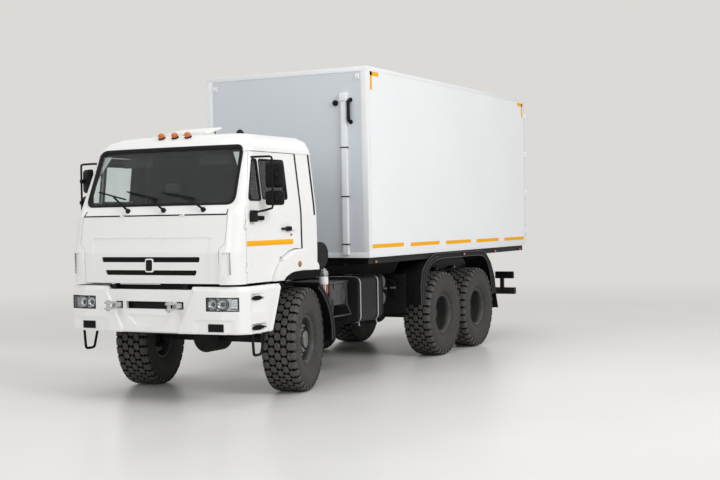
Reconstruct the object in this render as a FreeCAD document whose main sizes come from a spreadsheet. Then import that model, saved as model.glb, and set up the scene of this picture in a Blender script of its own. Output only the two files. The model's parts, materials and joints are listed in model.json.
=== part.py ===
import FreeCAD, Part
import math
import os
import re
import Sketcher
from FreeCAD import Placement, Rotation, Vector

# Box-bodied 6x6 truck, in millimetres: +X forward, +Y left, +Z up, on the ground.
# Every place along X is given from the front axle; AXLE shifts it to the middle of the truck.
os.makedirs("parts", exist_ok=True)
doc = FreeCAD.newDocument("BoxTruck")
sheet = doc.addObject("Spreadsheet::Sheet", "Sizes")

SIZES = {
    # Reach of the tow forks ahead of the front axle
    "front_reach": 1660,
    # Running gear
    "wheelbase": 4100, "bogie_spread": 1320, "track": 2050, "hub_height": 617,
    "kingpin_offset": 200, "steer_angle": 12.6,
    # Tyre
    "tyre_radius": 617, "lug_depth": 27, "tread_width": 412, "tyre_width": 424,
    "lug_count": 18, "lug_share": 0.52, "tyre_sides": 20,
    "bead_radius": 266, "bead_width": 304, "shoulder_radius": 545,
    # Wheel
    "flange_radius": 287, "flange_lip": 10, "barrel_wall": 14,
    "front_disc_face": 70, "rear_disc_face": -50, "disc_gauge": 16,
    "hub_radius": 112, "front_hub_tip": 158, "rear_hub_tip": 30,
    "drum_radius": 205, "drum_back": 100,
    # Knuckle and axles
    "axle_tube": 55, "boss_radius": 60, "boss_height": 200, "yoke_gauge": 45,
    "knuckle_gap": 0.3, "seat_gap": 0.3,
    "diff_radius": 180, "diff_length": 330, "pad_width": 120, "pad_rise": 22,
    "knuckle_width": 150,
    # Engine
    "engine_low": 820, "engine_rear": -520, "engine_length": 1050, "gearbox_length": 760,
    "transfer_front": -1830, "transfer_rear": -2250,
    # Ladder frame
    "frame_width": 865, "rail_top": 1180, "rail_height": 280, "flange_width": 80,
    "rail_gauge": 10, "frame_front": 1330, "frame_rear": -7330,
    # Leaf springs
    "spring_width": 90, "leaf_gauge": 14, "leaf_count": 6, "spring_half": 760,
    "spring_y": 425, "spring_seat": 170,
    # Box body
    "box_front": -1625, "box_rear": -7575, "box_width": 2500, "box_bottom": 1530,
    "box_height": 2500, "box_wall": 50, "floor_gauge": 80,
    "portal_depth": 50, "portal_post": 90, "door_gauge": 46, "door_gap": 6,
    "hinge_radius": 12, "hinge_stand": 34, "rod_radius": 13, "rod_stand": 20,
    # Body mounting frame
    "beam_height": 120, "beam_width": 90, "beam_count": 10,
    "beam_flange": 70, "beam_rear": 180, "beam_front": 275, "edge_rail": 85, "edge_gauge": 18,
    # Cab
    "cab_wall": 45, "cab_gap": 6, "glass_inset": 18, "glass_gauge": 6,
    "cab_bottom": 1345, "cab_tail": -380, "floor_top": 1395,
    "belt_z": 1700, "cowl_z": 2118, "screen_z": 2235, "cant_z": 2880,
    "brow_z": 2985, "crown_z": 3040, "roof_z": 3060, "gutter_z": 2832,
    "sill_nose": 1395, "belt_nose": 1412, "cowl_nose": 1335, "screen_nose": 1262,
    "cant_nose": 1010, "brow_nose": 915, "crown_nose": 800, "roof_nose": 690,
    "sill_half": 1175, "belt_half": 1178, "cowl_half": 1172, "screen_half": 1162,
    "cant_half": 1085, "brow_half": 1020, "crown_half": 900, "roof_half": 740,
    "hatch_length": 330, "hatch_width": 620, "hatch_gauge": 22, "hatch_angle": 14, "hatch_hinge_x": 640,
    "hatch_pin": 10.4, "hatch_pin_ahead": 8,
    "low_bow": 25, "high_bow": 50, "low_corner": 170, "high_corner": 100,
    "screen_low_half": 1035, "screen_high_half": 1000, "screen_high_z": 2893,
    "screen_round": 95, "window_round": 35, "slot_round": 14,
    # Front panel, its field round the grille, and the corner fairings with their vents
    "hood_half": 1008, "hood_low_half": 935, "field_depth": 7, "field_top": 1867, "field_low": 1395,
    "fairing_out": 22, "fairing_top": 1735, "vent_floor": 1375, "gutter_out": 8, "gutter_tall": 18,
    # Cab doors
    "door_front": 1190, "door_rear": 0, "door_front_top": 945, "door_top": 2825,
    "door_low": 1350, "door_hinge_y": 1188.3, "hinge_pin": 10,
    "panel_hinge_x": 1338.8, "panel_hinge_z": 2115, "panel_pin": 6,
    "mirror_x": 885, "mirror_y": 1338, "mirror_turn": 28,
    # Wheel arches
    "arch_radius": 830, "flare_radius": 600, "flare_x": 120, "flare_z": 1100,
    "flare_out": 1240, "flare_front": 490, "flare_rear": -335,
    "guard_radius": 762, "guard_gauge": 7, "guard_in": 820, "guard_out": 1190, "guard_flange": 68,
    "guard_tuck": 25, "lip_gauge": 8, "rail_clear": 86,
    # Bumper
    "bumper_low": 795, "bumper_top": 1285, "bumper_corner_top": 1320,
    "bumper_nose": 1430, "bumper_gauge": 50,
    "centre_face": 1416, "plate_face": 1409, "lamp_round": 16, "flare_round": 24,
    "hoop_radius": 11, "hoop_drop": 250, "step_length": 310,
    "fork_y": 422, "plate_hole": 8, "plate_pitch": 440, "coupling_pin": 50,
    # Side tank and boxes
    "tank_front": -1390, "tank_rear": -2110, "tank_in": 640, "tank_out": 1190,
    "tank_low": 700, "tank_top": 1285, "tank_round": 90, "strap_width": 60,
    "strap_gauge": 6,
    # Cab tilt axis
    "tilt_x": 1395, "tilt_z": 1312, "tilt_y": 500, "tilt_ear": 16,
}

for row, (name, value) in enumerate(SIZES.items(), start=1):
    sheet.set("A%d" % row, name)
    sheet.set("B%d" % row, str(value))
    sheet.setAlias("B%d" % row, name)
doc.recompute()

AXLE = "(hinge_stand - box_rear - front_reach) / 2"


def size(name):
    """The number that a cell of the sheet holds."""
    return float(sheet.get(name))


def formula(text):
    """The text with each size's name pointing at its cell of the sheet."""
    return re.sub(r"[a-z_]+", lambda m: "Sizes." + m.group() if m.group() in SIZES else m.group(), text)


def bind(item, prop, text):
    item.setExpression(prop, formula(str(text)))


def place(item, x, y, z):
    """Put an item at a place given from the front axle."""
    bind(item, "Placement.Base.x", "%s + %s" % (AXLE, x))
    bind(item, "Placement.Base.y", y)
    bind(item, "Placement.Base.z", z)
    return item


def block(name, length, width, height, x, y, z):
    """A box from its low corner."""
    item = doc.addObject("Part::Box", name)
    for prop, text in (("Length", length), ("Width", width), ("Height", height)):
        bind(item, prop, text)
    return place(item, x, y, z)


TURNS = {"x": Rotation(Vector(0, 1, 0), 90), "y": Rotation(Vector(1, 0, 0), -90), "z": Rotation()}


def rod(name, radius, length, axis, x, y, z):
    """A cylinder along one axis, from the middle of its low end."""
    item = doc.addObject("Part::Cylinder", name)
    bind(item, "Radius", radius)
    bind(item, "Height", length)
    item.Placement = Placement(Vector(), TURNS[axis])
    return place(item, x, y, z)


PLANES = {
    "XY": (Rotation(), Vector(0, 0, 1)),
    "XZ": (Rotation(Vector(1, 0, 0), 90), Vector(0, 1, 0)),
    "YZ": (Rotation(Vector(1, 1, 1), 120), Vector(1, 0, 0)),
}


def draw(sketch, points):
    """A closed outline in a sketch; every coordinate is bound to the sheet."""
    count = len(points)
    turn = 2 * math.pi / count
    spots = [Vector(math.cos(k * turn), math.sin(k * turn), 0) for k in range(count)]
    for k in range(count):
        sketch.addGeometry(Part.LineSegment(spots[k], spots[(k + 1) % count]))
    for k in range(count):
        sketch.addConstraint(Sketcher.Constraint("Coincident", k, 2, (k + 1) % count, 1))
    for k, (across, up) in enumerate(points):
        for kind, text, start in (("DistanceX", across, spots[k].x), ("DistanceY", up, spots[k].y)):
            index = sketch.addConstraint(Sketcher.Constraint(kind, -1, 1, k, 1, start))
            sketch.setExpression("Constraints[%d]" % index, formula(str(text)))


def prism(name, plane, points, low, length):
    """A closed outline on a plane, drawn out along that plane's axis from low."""
    rotation, direction = PLANES[plane]
    sketch = doc.addObject("Sketcher::SketchObject", name + "_outline")
    sketch.Placement = Placement(Vector(), rotation)
    draw(sketch, points)
    base = {"XY": ("0", "0", low), "XZ": ("0", low, "0"), "YZ": (low, "0", "0")}[plane]
    place(sketch, *base)
    item = doc.addObject("Part::Extrusion", name)
    item.Base = sketch
    item.DirMode = "Custom"
    item.Dir = direction
    item.Solid = True
    bind(item, "LengthFwd", length)
    return item


def join(name, items):
    item = doc.addObject("Part::MultiFuse", name)
    item.Shapes = items
    return item


def cut(name, base, *tools):
    item = doc.addObject("Part::Cut", name)
    item.Base = base
    item.Tool = tools[0] if len(tools) == 1 else join(name + "_tools", list(tools))
    return item


def common(name, first, second):
    item = doc.addObject("Part::Common", name)
    item.Base = first
    item.Tool = second
    return item


def round_off(name, base, radius, axis):
    """Round a straight piece's edges that run along one axis."""
    rounded = doc.addObject("Part::Fillet", name)
    rounded.Base = base
    doc.recompute()
    runs = [e.Vertexes[-1].Point - e.Vertexes[0].Point for e in base.Shape.Edges]
    rounded.Edges = [(i, radius, radius) for i, run in enumerate(runs, 1)
                     if abs(run.dot(axis)) > 0.99 * run.Length > 0]
    return rounded


def group(name, items):
    """Like pieces that don't touch, kept as one sub-part."""
    item = doc.addObject("Part::Compound", name)
    item.Links = items
    return item


def mirror(item):
    """The same piece on the other side of the truck."""
    twin = doc.addObject("Part::Mirroring", item.Name + "_mirrored")
    twin.Source = item
    twin.Normal = Vector(0, 1, 0)
    return twin


def both(name, item):
    return group(name, [item, mirror(item)])


def feature(name, shape, spot=None):
    """A shape made with Part's own functions, then put in its place."""
    item = doc.addObject("Part::Feature", name)
    item.Shape = shape
    item.Placement = spot or Placement(Vector(axle_x(), 0, 0), Rotation())
    return item


def axle_x():
    return (size("hinge_stand") - size("box_rear") - size("front_reach")) / 2


PARTS = []


def keep(item, label):
    """Name a finished sub-part; the label is also its file's name."""
    item.Label = label
    PARTS.append(item)
    return item


# Tyres: faceted sidewalls with two rows of staggered lugs
def ring_points(radius, count, start=0.0):
    """Points round the wheel's axis, in the XZ plane."""
    step = 2 * math.pi / count
    return [Vector(radius * math.sin(start + k * step), 0, radius * math.cos(start + k * step))
            for k in range(count)]


def flat_face(points):
    return Part.Face(Part.makePolygon(points + [points[0]]))


def carcass():
    """The tyre without its tread: flat bands between rings from bead to shoulder."""
    sides = int(size("tyre_sides"))
    half_bead = size("bead_width") / 2
    half_tyre = size("tyre_width") / 2
    bead = (size("bead_radius") + size("seat_gap")) / math.cos(math.pi / sides)
    lip = size("flange_radius") + 4
    shoulder = size("shoulder_radius")
    bulge = (bead + shoulder) / 2
    profile = [(bead, -half_bead), (lip, -half_bead), (bulge, -half_tyre),
               (shoulder, -size("tread_width") / 2),
               (shoulder, size("tread_width") / 2), (bulge, half_tyre), (lip, half_bead),
               (bead, half_bead)]
    rings = [[p + Vector(0, y, 0) for p in ring_points(r, sides)] for r, y in profile]
    faces = []
    for k in range(len(rings)):
        near, far = rings[k - 1], rings[k]
        for i in range(sides):
            j = (i + 1) % sides
            faces.append(flat_face([near[i], near[j], far[j], far[i]]))
    shell = Part.makeShell(faces)
    shell.sewShape()
    return Part.makeSolid(shell)


def lug_row(start, low, high):
    """One row of lugs standing on the tread, between two planes across the wheel."""
    count = int(size("lug_count"))
    pitch = 2 * math.pi / count
    half = pitch * size("lug_share") / 2
    tip = size("tyre_radius") / math.cos(half * 0.93)
    root = size("tyre_radius") - size("lug_depth")
    outline = []
    for k in range(count):
        middle = start + k * pitch
        for radius, angle in ((root, middle - half), (tip, middle - half * 0.93),
                              (tip, middle + half * 0.93), (root, middle + half)):
            outline.append(Vector(radius * math.sin(angle), low, radius * math.cos(angle)))
    bore = [p + Vector(0, low, 0) for p in ring_points(size("shoulder_radius"),
                                                       int(size("tyre_sides")))]
    row = flat_face(outline).cut(flat_face(bore))
    return row.extrude(Vector(0, high - low, 0))


def tyre_shape():
    half = size("tread_width") / 2
    pitch = 2 * math.pi / size("lug_count")
    shape = carcass().fuse([lug_row(0, -half, 0), lug_row(pitch / 2, 0, half)])
    return shape.removeSplitter()


# Wheels: rim, disc, hub and brake drum turned as one piece
def wheel(name, disc_face, hub_tip):
    body = doc.addObject("PartDesign::Body", name)
    sketch = body.newObject("Sketcher::SketchObject", name + "_section")
    plane = [f for f in body.Origin.OriginFeatures if f.Role == "XY_Plane"][0]
    sketch.AttachmentSupport = (plane, "")
    sketch.MapMode = "FlatFace"
    lip = "bead_width / 2 + flange_lip"
    barrel = "bead_radius - barrel_wall"
    draw(sketch, [
        (0, hub_tip), ("hub_radius", hub_tip), ("hub_radius", disc_face),
        (barrel, disc_face), ("bead_radius - 4", lip), ("flange_radius", lip),
        ("flange_radius", "bead_width / 2 + seat_gap"), ("bead_radius", "bead_width / 2 + seat_gap"),
        ("bead_radius", "-bead_width / 2 - seat_gap"), ("flange_radius", "-bead_width / 2 - seat_gap"),
        ("flange_radius", "-(%s)" % lip), ("bead_radius - 4", "-(%s)" % lip),
        (barrel, disc_face + " - disc_gauge"), ("drum_radius", disc_face + " - disc_gauge"),
        ("drum_radius", "-drum_back"), (0, "-drum_back")])
    turn = body.newObject("PartDesign::Revolution", name + "_turned")
    turn.Profile = sketch
    turn.ReferenceAxis = (sketch, ["V_Axis"])
    turn.Angle = 360
    body.Tip = turn
    return body


def wheel_set(spot, x, steered, side):
    """A wheel and its tyre on one axle end; side is 1 on the left, -1 on the right."""
    kind = "front" if steered else "rear"
    name = "wheel_%s" % spot
    body = wheel(name, kind + "_disc_face", kind + "_hub_tip")
    turn = size("steer_angle") if steered else 0
    heading = turn if side > 0 else turn + 180
    body.Placement = Placement(Vector(), Rotation(Vector(0, 0, 1), heading))
    if steered:
        place(body, "%d * kingpin_offset * sin(steer_angle)" % -side,
              "%d * (track / 2 - kingpin_offset + kingpin_offset * cos(steer_angle))" % side,
              "hub_height")
    else:
        place(body, x, "%d * track / 2" % side, "hub_height")
    keep(body, name)
    return name


TYRES = []


def running_gear():
    rows = [("front", "0", True), ("middle", "-wheelbase", False),
            ("rear", "-wheelbase - bogie_spread", False)]
    for spot, x, steered in rows:
        for side, hand in ((1, "left"), (-1, "right")):
            name = wheel_set("%s_%s" % (spot, hand), x, steered, side)
            TYRES.append((name, side))


def tyres():
    """Every tyre is the same shape, set on its own wheel."""
    shape = tyre_shape()
    for name, side in TYRES:
        spot = doc.getObject(name).Placement
        keep(feature(name.replace("wheel", "tyre"), shape, spot), name.replace("wheel", "tyre"))


# Steering knuckles: a yoke over the axle's boss, facing the back of the brake drum
def knuckle(side, hand):
    body = doc.addObject("PartDesign::Body", "knuckle_" + hand)
    sketch = body.newObject("Sketcher::SketchObject", "knuckle_section_" + hand)
    plane = [f for f in body.Origin.OriginFeatures if f.Role == "YZ_Plane"][0]
    sketch.AttachmentSupport = (plane, "")
    sketch.MapMode = "FlatFace"
    face = "kingpin_offset - drum_back - seat_gap"
    web = "boss_radius + knuckle_gap"
    inner = "boss_height / 2 + knuckle_gap"
    outer = inner + " + yoke_gauge"
    draw(sketch, [("-boss_radius", inner), ("-boss_radius", outer), (face, outer),
                  (face, "-(%s)" % outer),
                  ("-boss_radius", "-(%s)" % outer), ("-boss_radius", "-(%s)" % inner),
                  (web, "-(%s)" % inner), (web, inner)])
    pad = body.newObject("PartDesign::Pad", "knuckle_pad_" + hand)
    pad.Profile = sketch
    pad.Midplane = True
    bind(pad, "Length", "knuckle_width")
    body.Tip = pad
    heading = size("steer_angle") + (0 if side > 0 else 180)
    body.Placement = Placement(Vector(), Rotation(Vector(0, 0, 1), heading))
    place(body, "0", "%d * (track / 2 - kingpin_offset)" % side, "hub_height")
    return keep(body, "knuckle_" + hand)


# Axles: tube, differential housing and spring pads
def axle(name, x, tube_half, diff_y):
    tube = rod(name + "_tube", "axle_tube", "2 * (%s)" % tube_half, "y", x, "-(%s)" % tube_half,
               "hub_height")
    diff = rod(name + "_diff", "diff_radius", "diff_length", "x", "%s - diff_length / 2" % x, diff_y,
               "hub_height")
    pads = [block("%s_pad_%d" % (name, k), "spring_seat", "pad_width", "axle_tube + pad_rise",
                  "%s - spring_seat / 2" % x, "%d * spring_y - pad_width / 2" % k, "hub_height")
            for k in (-1, 1)]
    return [tube, diff] + pads


def axles():
    half = "track / 2 - kingpin_offset"
    parts = axle("front_axle", "0", half, "-110")
    for k in (-1, 1):
        parts.append(rod("front_boss_%d" % k, "boss_radius", "boss_height", "z", "0",
                         "%d * (%s)" % (k, half), "hub_height - boss_height / 2"))
    keep(join("front_axle", parts), "front_axle")
    reach = "track / 2 - drum_back - seat_gap"
    middle = join("middle_axle_joined", axle("middle_axle", "-wheelbase", reach, "0"))
    rear = join("rear_axle_joined", axle("rear_axle_set", "-wheelbase - bogie_spread", reach, "0"))
    keep(group("rear_axles", [middle, rear]), "rear_axles")


# Ladder frame: two channel rails, cross-members, cab posts and tilt brackets
def frame():
    out = "frame_width / 2"
    low = "rail_top - rail_height"
    rail = prism("rail", "YZ", [
        (out, low), (out, "rail_top"), (out + " - flange_width", "rail_top"),
        (out + " - flange_width", "rail_top - rail_gauge"),
                                (out + " - rail_gauge", "rail_top - rail_gauge"),
        (out + " - rail_gauge", low + " + rail_gauge"),
                                (out + " - flange_width", low + " + rail_gauge"),
        (out + " - flange_width", low)], "frame_rear", "frame_front - frame_rear")
    pieces = [rail, mirror(rail)]
    for k, x in enumerate(("frame_front - 90", "-2500", "-3400", "-wheelbase - bogie_spread / 2 - 45",
                           "-6300", "frame_rear")):
        pieces.append(block("cross_%d" % k, 90, "frame_width - 2 * rail_gauge + 2", "rail_height - 60",
                            x, "-frame_width / 2 + rail_gauge - 1", low + " + 30"))
    pieces.append(block("high_cross", 90, "frame_width - 2 * rail_gauge + 2", 90, -1600,
                        "-frame_width / 2 + rail_gauge - 1", "rail_top - 100"))
    for k in (-1, 1):
        pieces.append(block("cab_post_%d" % k, 90, "flange_width", "cab_bottom - seat_gap - rail_top",
                            "cab_tail + 30",
                            "%d * (%s - flange_width / 2) - flange_width / 2" % (k, out), "rail_top"))
        pieces.append(block("bumper_bracket_%d" % k,
                            "bumper_nose - bumper_gauge - 4.6 - frame_front + 10",
                            "flange_width", "rail_height - 130", "frame_front - 10",
                            "%d * (%s - 40) - 40" % (k, out), low + " + 10"))
        for j in (-1, 1):
            ear = prism("tilt_ear_%d_%d" % (k, j), "XZ", [
                ("frame_front - 120", "rail_top"), ("frame_front", "rail_top"),
                                                          ("tilt_x - 25", "tilt_z - 20"),
                ("tilt_x + 18", "tilt_z - 17"), ("tilt_x + 18", "tilt_z + 14"),
                                                          ("tilt_x - 20", "tilt_z + 18")],
                "%d * tilt_y + %d * (tilt_ear / 2 + knuckle_gap + tilt_ear / 2) - tilt_ear / 2" % (k,
                                                                                                   j),
                        "tilt_ear")
            pieces.append(ear)
        pieces.append(block("tilt_foot_%d" % k, 120, "tilt_y - %s + 2 * tilt_ear + 4" % out,
                            "rail_gauge * 2",
                            "frame_front - 120",
                            "min(%d * (%s), %d * (tilt_y + 2 * tilt_ear + 4))" % (k, out, k),
                            "rail_top - 20"))
    keep(join("frame", pieces), "frame")


# Engine block, gearbox and transfer case
def powertrain():
    width = "frame_width - 2 * flange_width - 2 * seat_gap"
    engine = block("engine_block", "engine_length", width, "cab_bottom - 30 - engine_low",
                   "engine_rear",
                   "-(%s) / 2" % width, "engine_low")
    gearbox = rod("gearbox_case", 210, "gearbox_length", "x", "engine_rear - seat_gap - gearbox_length",
                  0,
                  "engine_low + 220")
    transfer = block("transfer_case", "transfer_front - transfer_rear", 460, 420, "transfer_rear", -230,
                     "rail_top - rail_height - 150")
    arms = block("transfer_arms", 100, "frame_width - 2 * rail_gauge - 2 * seat_gap", 80,
                 "transfer_rear + 160",
                 "-frame_width / 2 + rail_gauge + seat_gap",
                 "rail_top - rail_height + rail_gauge + seat_gap")
    keep(group("powertrain", [engine, gearbox, join("transfer_hung", [transfer, arms])]), "powertrain")


def shaft(name, radius, start, end):
    """A round shaft on the truck's centre plane between two flanges that stand square to the truck."""
    flange = 22
    ends = [Part.makeCylinder(radius * 1.35, flange, Vector(start[0], 0, start[1]), Vector(1, 0, 0)),
            Part.makeCylinder(radius * 1.35, flange, Vector(end[0] - flange, 0, end[1]),
                              Vector(1, 0, 0))]
    low, high = Vector(start[0] + flange / 2, 0, start[1]), Vector(end[0] - flange / 2, 0, end[1])
    return feature(name, Part.makeCylinder(radius, (high - low).Length, low, high - low).fuse(ends))


def prop_shafts():
    low = size("rail_top") - size("rail_height")
    gap, hub = size("seat_gap"), size("hub_height")
    diff = size("diff_length") / 2 + gap
    middle, rear = -size("wheelbase"), -size("wheelbase") - size("bogie_spread")
    gearbox = size("engine_rear") - 2 * gap - size("gearbox_length")
    ahead, behind = size("transfer_front") + gap, size("transfer_rear") - gap
    # each shaft: radius, rear end and front end, as places along the truck and heights
    runs = [(45, (ahead, size("engine_low") + 200), (gearbox, size("engine_low") + 200)),
            (38, (ahead, low - 60), (-diff, hub)),
            (45, (middle + diff, hub + 20), (behind, low - 20)),
            (45, (rear + diff, hub + 20), (middle - diff, hub + 20))]
    keep(group("prop_shafts", [shaft("prop_shaft_%d" % k, *run) for k, run in enumerate(runs)]),
         "prop_shafts")


# Leaf springs: front packs on hangers, bogie packs on the trunnion
def spring_pack(name, x, middle_low, end_low, half):
    thick = "leaf_gauge * leaf_count"
    points = [("-(%s)" % half, end_low), ("-(%s) * 0.5" % half,
                                          "(%s + %s) / 2 - 12" % (end_low, middle_low)),
              ("-spring_seat / 2", middle_low), ("spring_seat / 2", middle_low),
              ("(%s) * 0.5" % half, "(%s + %s) / 2 - 12" % (end_low, middle_low)), (half, end_low),
              (half, "%s + leaf_gauge * 2" % end_low),
              ("(%s) * 0.5" % half, "(%s + %s) / 2 + 0.6 * %s" % (end_low, middle_low, thick)),
              ("spring_seat / 2", "%s + %s" % (middle_low, thick)),
              ("-spring_seat / 2", "%s + %s" % (middle_low, thick)),
              ("-(%s) * 0.5" % half, "(%s + %s) / 2 + 0.6 * %s" % (end_low, middle_low, thick)),
              ("-(%s)" % half, "%s + leaf_gauge * 2" % end_low)]
    points = [("(%s) + (%s)" % (x, across), up) for across, up in points]
    return prism(name, "XZ", points, "spring_y - spring_width / 2", "spring_width")


def springs():
    low = "rail_top - rail_height"
    seat = "hub_height + axle_tube + pad_rise + seat_gap"
    pack = spring_pack("front_pack", "0", seat, low + " - 62", "spring_half")
    hangers = [block("hanger_%d" % k, 60, "spring_width", 64, "%d * (spring_half - 32) - 30" % k,
                     "spring_y - spring_width / 2", low + " - 64") for k in (-1, 1)]
    front = join("front_spring", [pack] + hangers)
    middle = "-wheelbase - bogie_spread / 2"
    rear = spring_pack("rear_pack", middle, seat + " + 30", seat, "bogie_spread / 2")
    clamp = block("trunnion_clamp", 230, "spring_width + 30",
                  "rail_top - rail_height - seat_gap - hub_height + 140",
                  middle + " - 115", "spring_y - spring_width / 2 - 15", "hub_height - 140")
    trunnion = rod("trunnion", 50, "2 * spring_y - spring_width + 4", "y", middle,
                   "-spring_y + spring_width / 2 - 2", "hub_height - 90")
    side = join("rear_spring", [rear, clamp])
    rear_set = join("rear_springs", [side, mirror(side), trunnion])
    keep(group("springs", [front, mirror(front), rear_set]), "springs")


# Load box: hollow, with floor, walls, roof and the rear portal that carries the doors
def box_body():
    wall, half, top = "box_wall", "box_width / 2", "box_bottom + box_height"
    inside = "box_rear + door_gauge + door_gap + portal_depth"
    length = "box_front - box_wall - (%s)" % inside
    keep(block("box_floor", length, "box_width - 2 * box_wall", "floor_gauge", inside,
               "-%s + box_wall" % half, "box_bottom"), "box_floor")
    front_wall = block("front_wall_plain", wall, "box_width", "box_height", "box_front - box_wall",
                       "-" + half,
                       "box_bottom")
    conduit = block("wall_conduit", 42, 78, "box_height - 470", "box_front - 2", 881, "box_bottom + 40")
    keep(join("box_front_wall", [front_wall, conduit]), "box_front_wall")
    side = block("box_side", length, wall, "box_height - box_wall", inside, half + " - box_wall",
                 "box_bottom")
    keep(both("box_side_walls", side), "box_side_walls")
    keep(block("box_roof", length, "box_width", wall, inside, "-" + half, top + " - box_wall"),
         "box_roof")
    outer = block("portal_outer", "portal_depth", "box_width", "box_height", inside + " - portal_depth",
                  "-" + half, "box_bottom")
    inner = block("portal_inner", "portal_depth + 20", "box_width - 2 * portal_post",
                  "box_height - floor_gauge - portal_post", inside + " - portal_depth - 10",
                  "-%s + portal_post" % half, "box_bottom + floor_gauge")
    frame_cut = cut("portal_frame", outer, inner)
    lugs = [block("portal_lug_%d" % j, "hinge_stand + door_gauge + door_gap + portal_depth - 7", 13, 30,
                  "box_rear - hinge_stand", half + " - 3", hinge_height(j) + " - 30 - seat_gap")
            for j in range(4)]
    side_lugs = group("portal_lugs", lugs)
    keep(join("box_portal", [frame_cut, side_lugs, mirror(side_lugs)]), "box_portal")


def hinge_height(j):
    """The low end of a box door's hinge eye, counted from the lowest hinge."""
    return "box_bottom + box_height * (0.1 + 0.26 * %d)" % j


def box_door(side, hand):
    """One rear door with its lock rods; it hangs on knuckles behind the box's corner."""
    top = "box_bottom + box_height"
    leaf = block("leaf_" + hand, "door_gauge", "box_width / 2 - 8 - door_gap / 2", "box_height - 40",
                 "box_rear",
                 "door_gap / 2", "box_bottom + 20")
    pieces = [leaf]
    for k, y in enumerate(("120", "box_width / 2 - 420")):
        pieces.append(rod("lock_rod_%s_%d" % (hand, k), "rod_radius", "box_height - 60", "z",
                          "box_rear - rod_stand", y, "box_bottom + 30"))
        for j in range(3):
            pieces.append(block("rod_clip_%s_%d_%d" % (hand, k, j), "rod_stand + 1", 60, 50,
                                "box_rear - rod_stand",
                                y + " - 30", "box_bottom + box_height * (0.06 + 0.43 * %d)" % j))
    for j in range(4):
        z = hinge_height(j)
        pieces.append(block("hinge_strap_%s_%d" % (hand, j), "hinge_stand", "150", 60,
                            "box_rear - hinge_stand",
                            "box_width / 2 - 155", z))
        pieces.append(rod("hinge_eye_%s_%d" % (hand, j), "hinge_radius", 60, "z",
                          "box_rear - hinge_stand + hinge_radius",
                          "box_width / 2 - hinge_radius + 8", z))
    door = join("box_door_joined_" + hand, pieces)
    keep(door if side > 0 else mirror(door), "box_door_" + hand)
    return door


# Cross-beams and long beams between the ladder frame and the box
def box_subframe():
    low, beam = "rail_top + seat_gap", "box_bottom - beam_height"
    long_beam = block("long_beam", "box_front - box_rear - beam_rear - 20", "beam_width",
                      "%s - (%s)" % (beam, low),
                      "box_rear + beam_rear", "frame_width / 2 - beam_width", low)
    pieces = [long_beam, mirror(long_beam)]
    count = int(size("beam_count"))
    for k in range(count):
        pieces.append(block("beam_%d" % k, "beam_flange", "box_width - 80", "beam_height - seat_gap",
                            beam_x(k),
                            "-box_width / 2 + 40", beam))
    ends = block("beam_taper", "box_front - box_rear", 600, 80, "box_rear", "track / 2 - 255",
                 "box_bottom - rail_clear - 76")
    rail = block("edge_rail", "box_front - box_rear - 140", "edge_gauge", "edge_rail - seat_gap",
                 "box_rear + 90",
                 "box_width / 2 - 40 - edge_gauge", "box_bottom - edge_rail")
    keep(join("box_subframe", [cut("subframe_plain", join("subframe_beams", pieces), ends,
                                   mirror(ends)), rail,
                               mirror(rail)]), "box_subframe")


def beam_x(k):
    """The rear face of a cross-beam, counted from the rear."""
    run = "box_front - box_rear - beam_rear - beam_front"
    return "box_rear + beam_rear + (%s) * %d / (beam_count - 1)" % (run, k)


# Cab: one outer form cut into the panels that meet on the real one
LEVELS = (
    # height, nose, half width, bow, corner radius, how far the inset lowers it
    ("cab_bottom", "sill_nose", "sill_half", "low_bow", "low_corner", 0),
    ("belt_z", "belt_nose", "belt_half", "low_bow", "low_corner", 0),
    ("cowl_z", "cowl_nose", "cowl_half", "low_bow", "low_corner", 0),
    ("screen_z", "screen_nose", "screen_half", "high_bow", "high_corner", 0),
    ("cant_z", "cant_nose", "cant_half", "high_bow", "high_corner", 0),
    ("brow_z", "brow_nose", "brow_half", "high_bow", "high_corner", 1),
    ("crown_z", "crown_nose", "crown_half", "high_bow", "high_corner", 1),
    ("roof_z", "roof_nose", "roof_half", "high_bow", "high_corner", 1),
)


def cab_section(z, nose, half, bow, corner, tail):
    """One level of the cab seen from above: bowed nose, rounded corners, straight sides."""
    side = nose - bow - corner
    bend = corner * math.sqrt(0.5)
    nose_y = half - corner
    ends = []
    for k in (-1, 1):
        start = Vector(nose - bow, k * nose_y, z)
        middle = Vector(side + bend, k * (nose_y + bend), z)
        ends.append(Part.Arc(start, middle, Vector(side, k * half, z)).toShape())
    front = Part.Arc(Vector(nose - bow, -nose_y, z), Vector(nose, 0, z),
                     Vector(nose - bow, nose_y, z)).toShape()
    left = Part.makeLine(Vector(side, half, z), Vector(tail, half, z))
    back = Part.makeLine(Vector(tail, half, z), Vector(tail, -half, z))
    right = Part.makeLine(Vector(tail, -half, z), Vector(side, -half, z))
    return Part.Wire([front, ends[1], left, back, right, ends[0]])


def cab_form(name, inset, ahead=0):
    """The cab's closed form, drawn in by inset all round; the inner forms run out below."""
    wires = []
    for level, nose, half, bow, corner, lowered in LEVELS:
        z = size(level) - (inset if lowered else 0)
        if level == "cab_bottom" and inset:
            z -= 5
        wires.append(cab_section(z, size(nose) - inset + ahead, size(half) - inset, size(bow),
                                 size(corner),
                                 size("cab_tail") + inset))
    return feature(name, Part.makeLoft(wires, True, True))


QUARTER = [("door_front - 85", "screen_z + 40"), (850, "screen_z + 40"), (850, 2735),
           ("door_front_top - 5", 2735)]
SIDE_WINDOW = [(805, "screen_z + 55"), (270, "screen_z + 55"), (270, 2735), (805, 2735)]
SCREEN = [("-screen_low_half", "screen_z + 5"), ("screen_low_half", "screen_z + 5"),
          ("screen_high_half", "screen_high_z"), ("-screen_high_half", "screen_high_z")]


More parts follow.
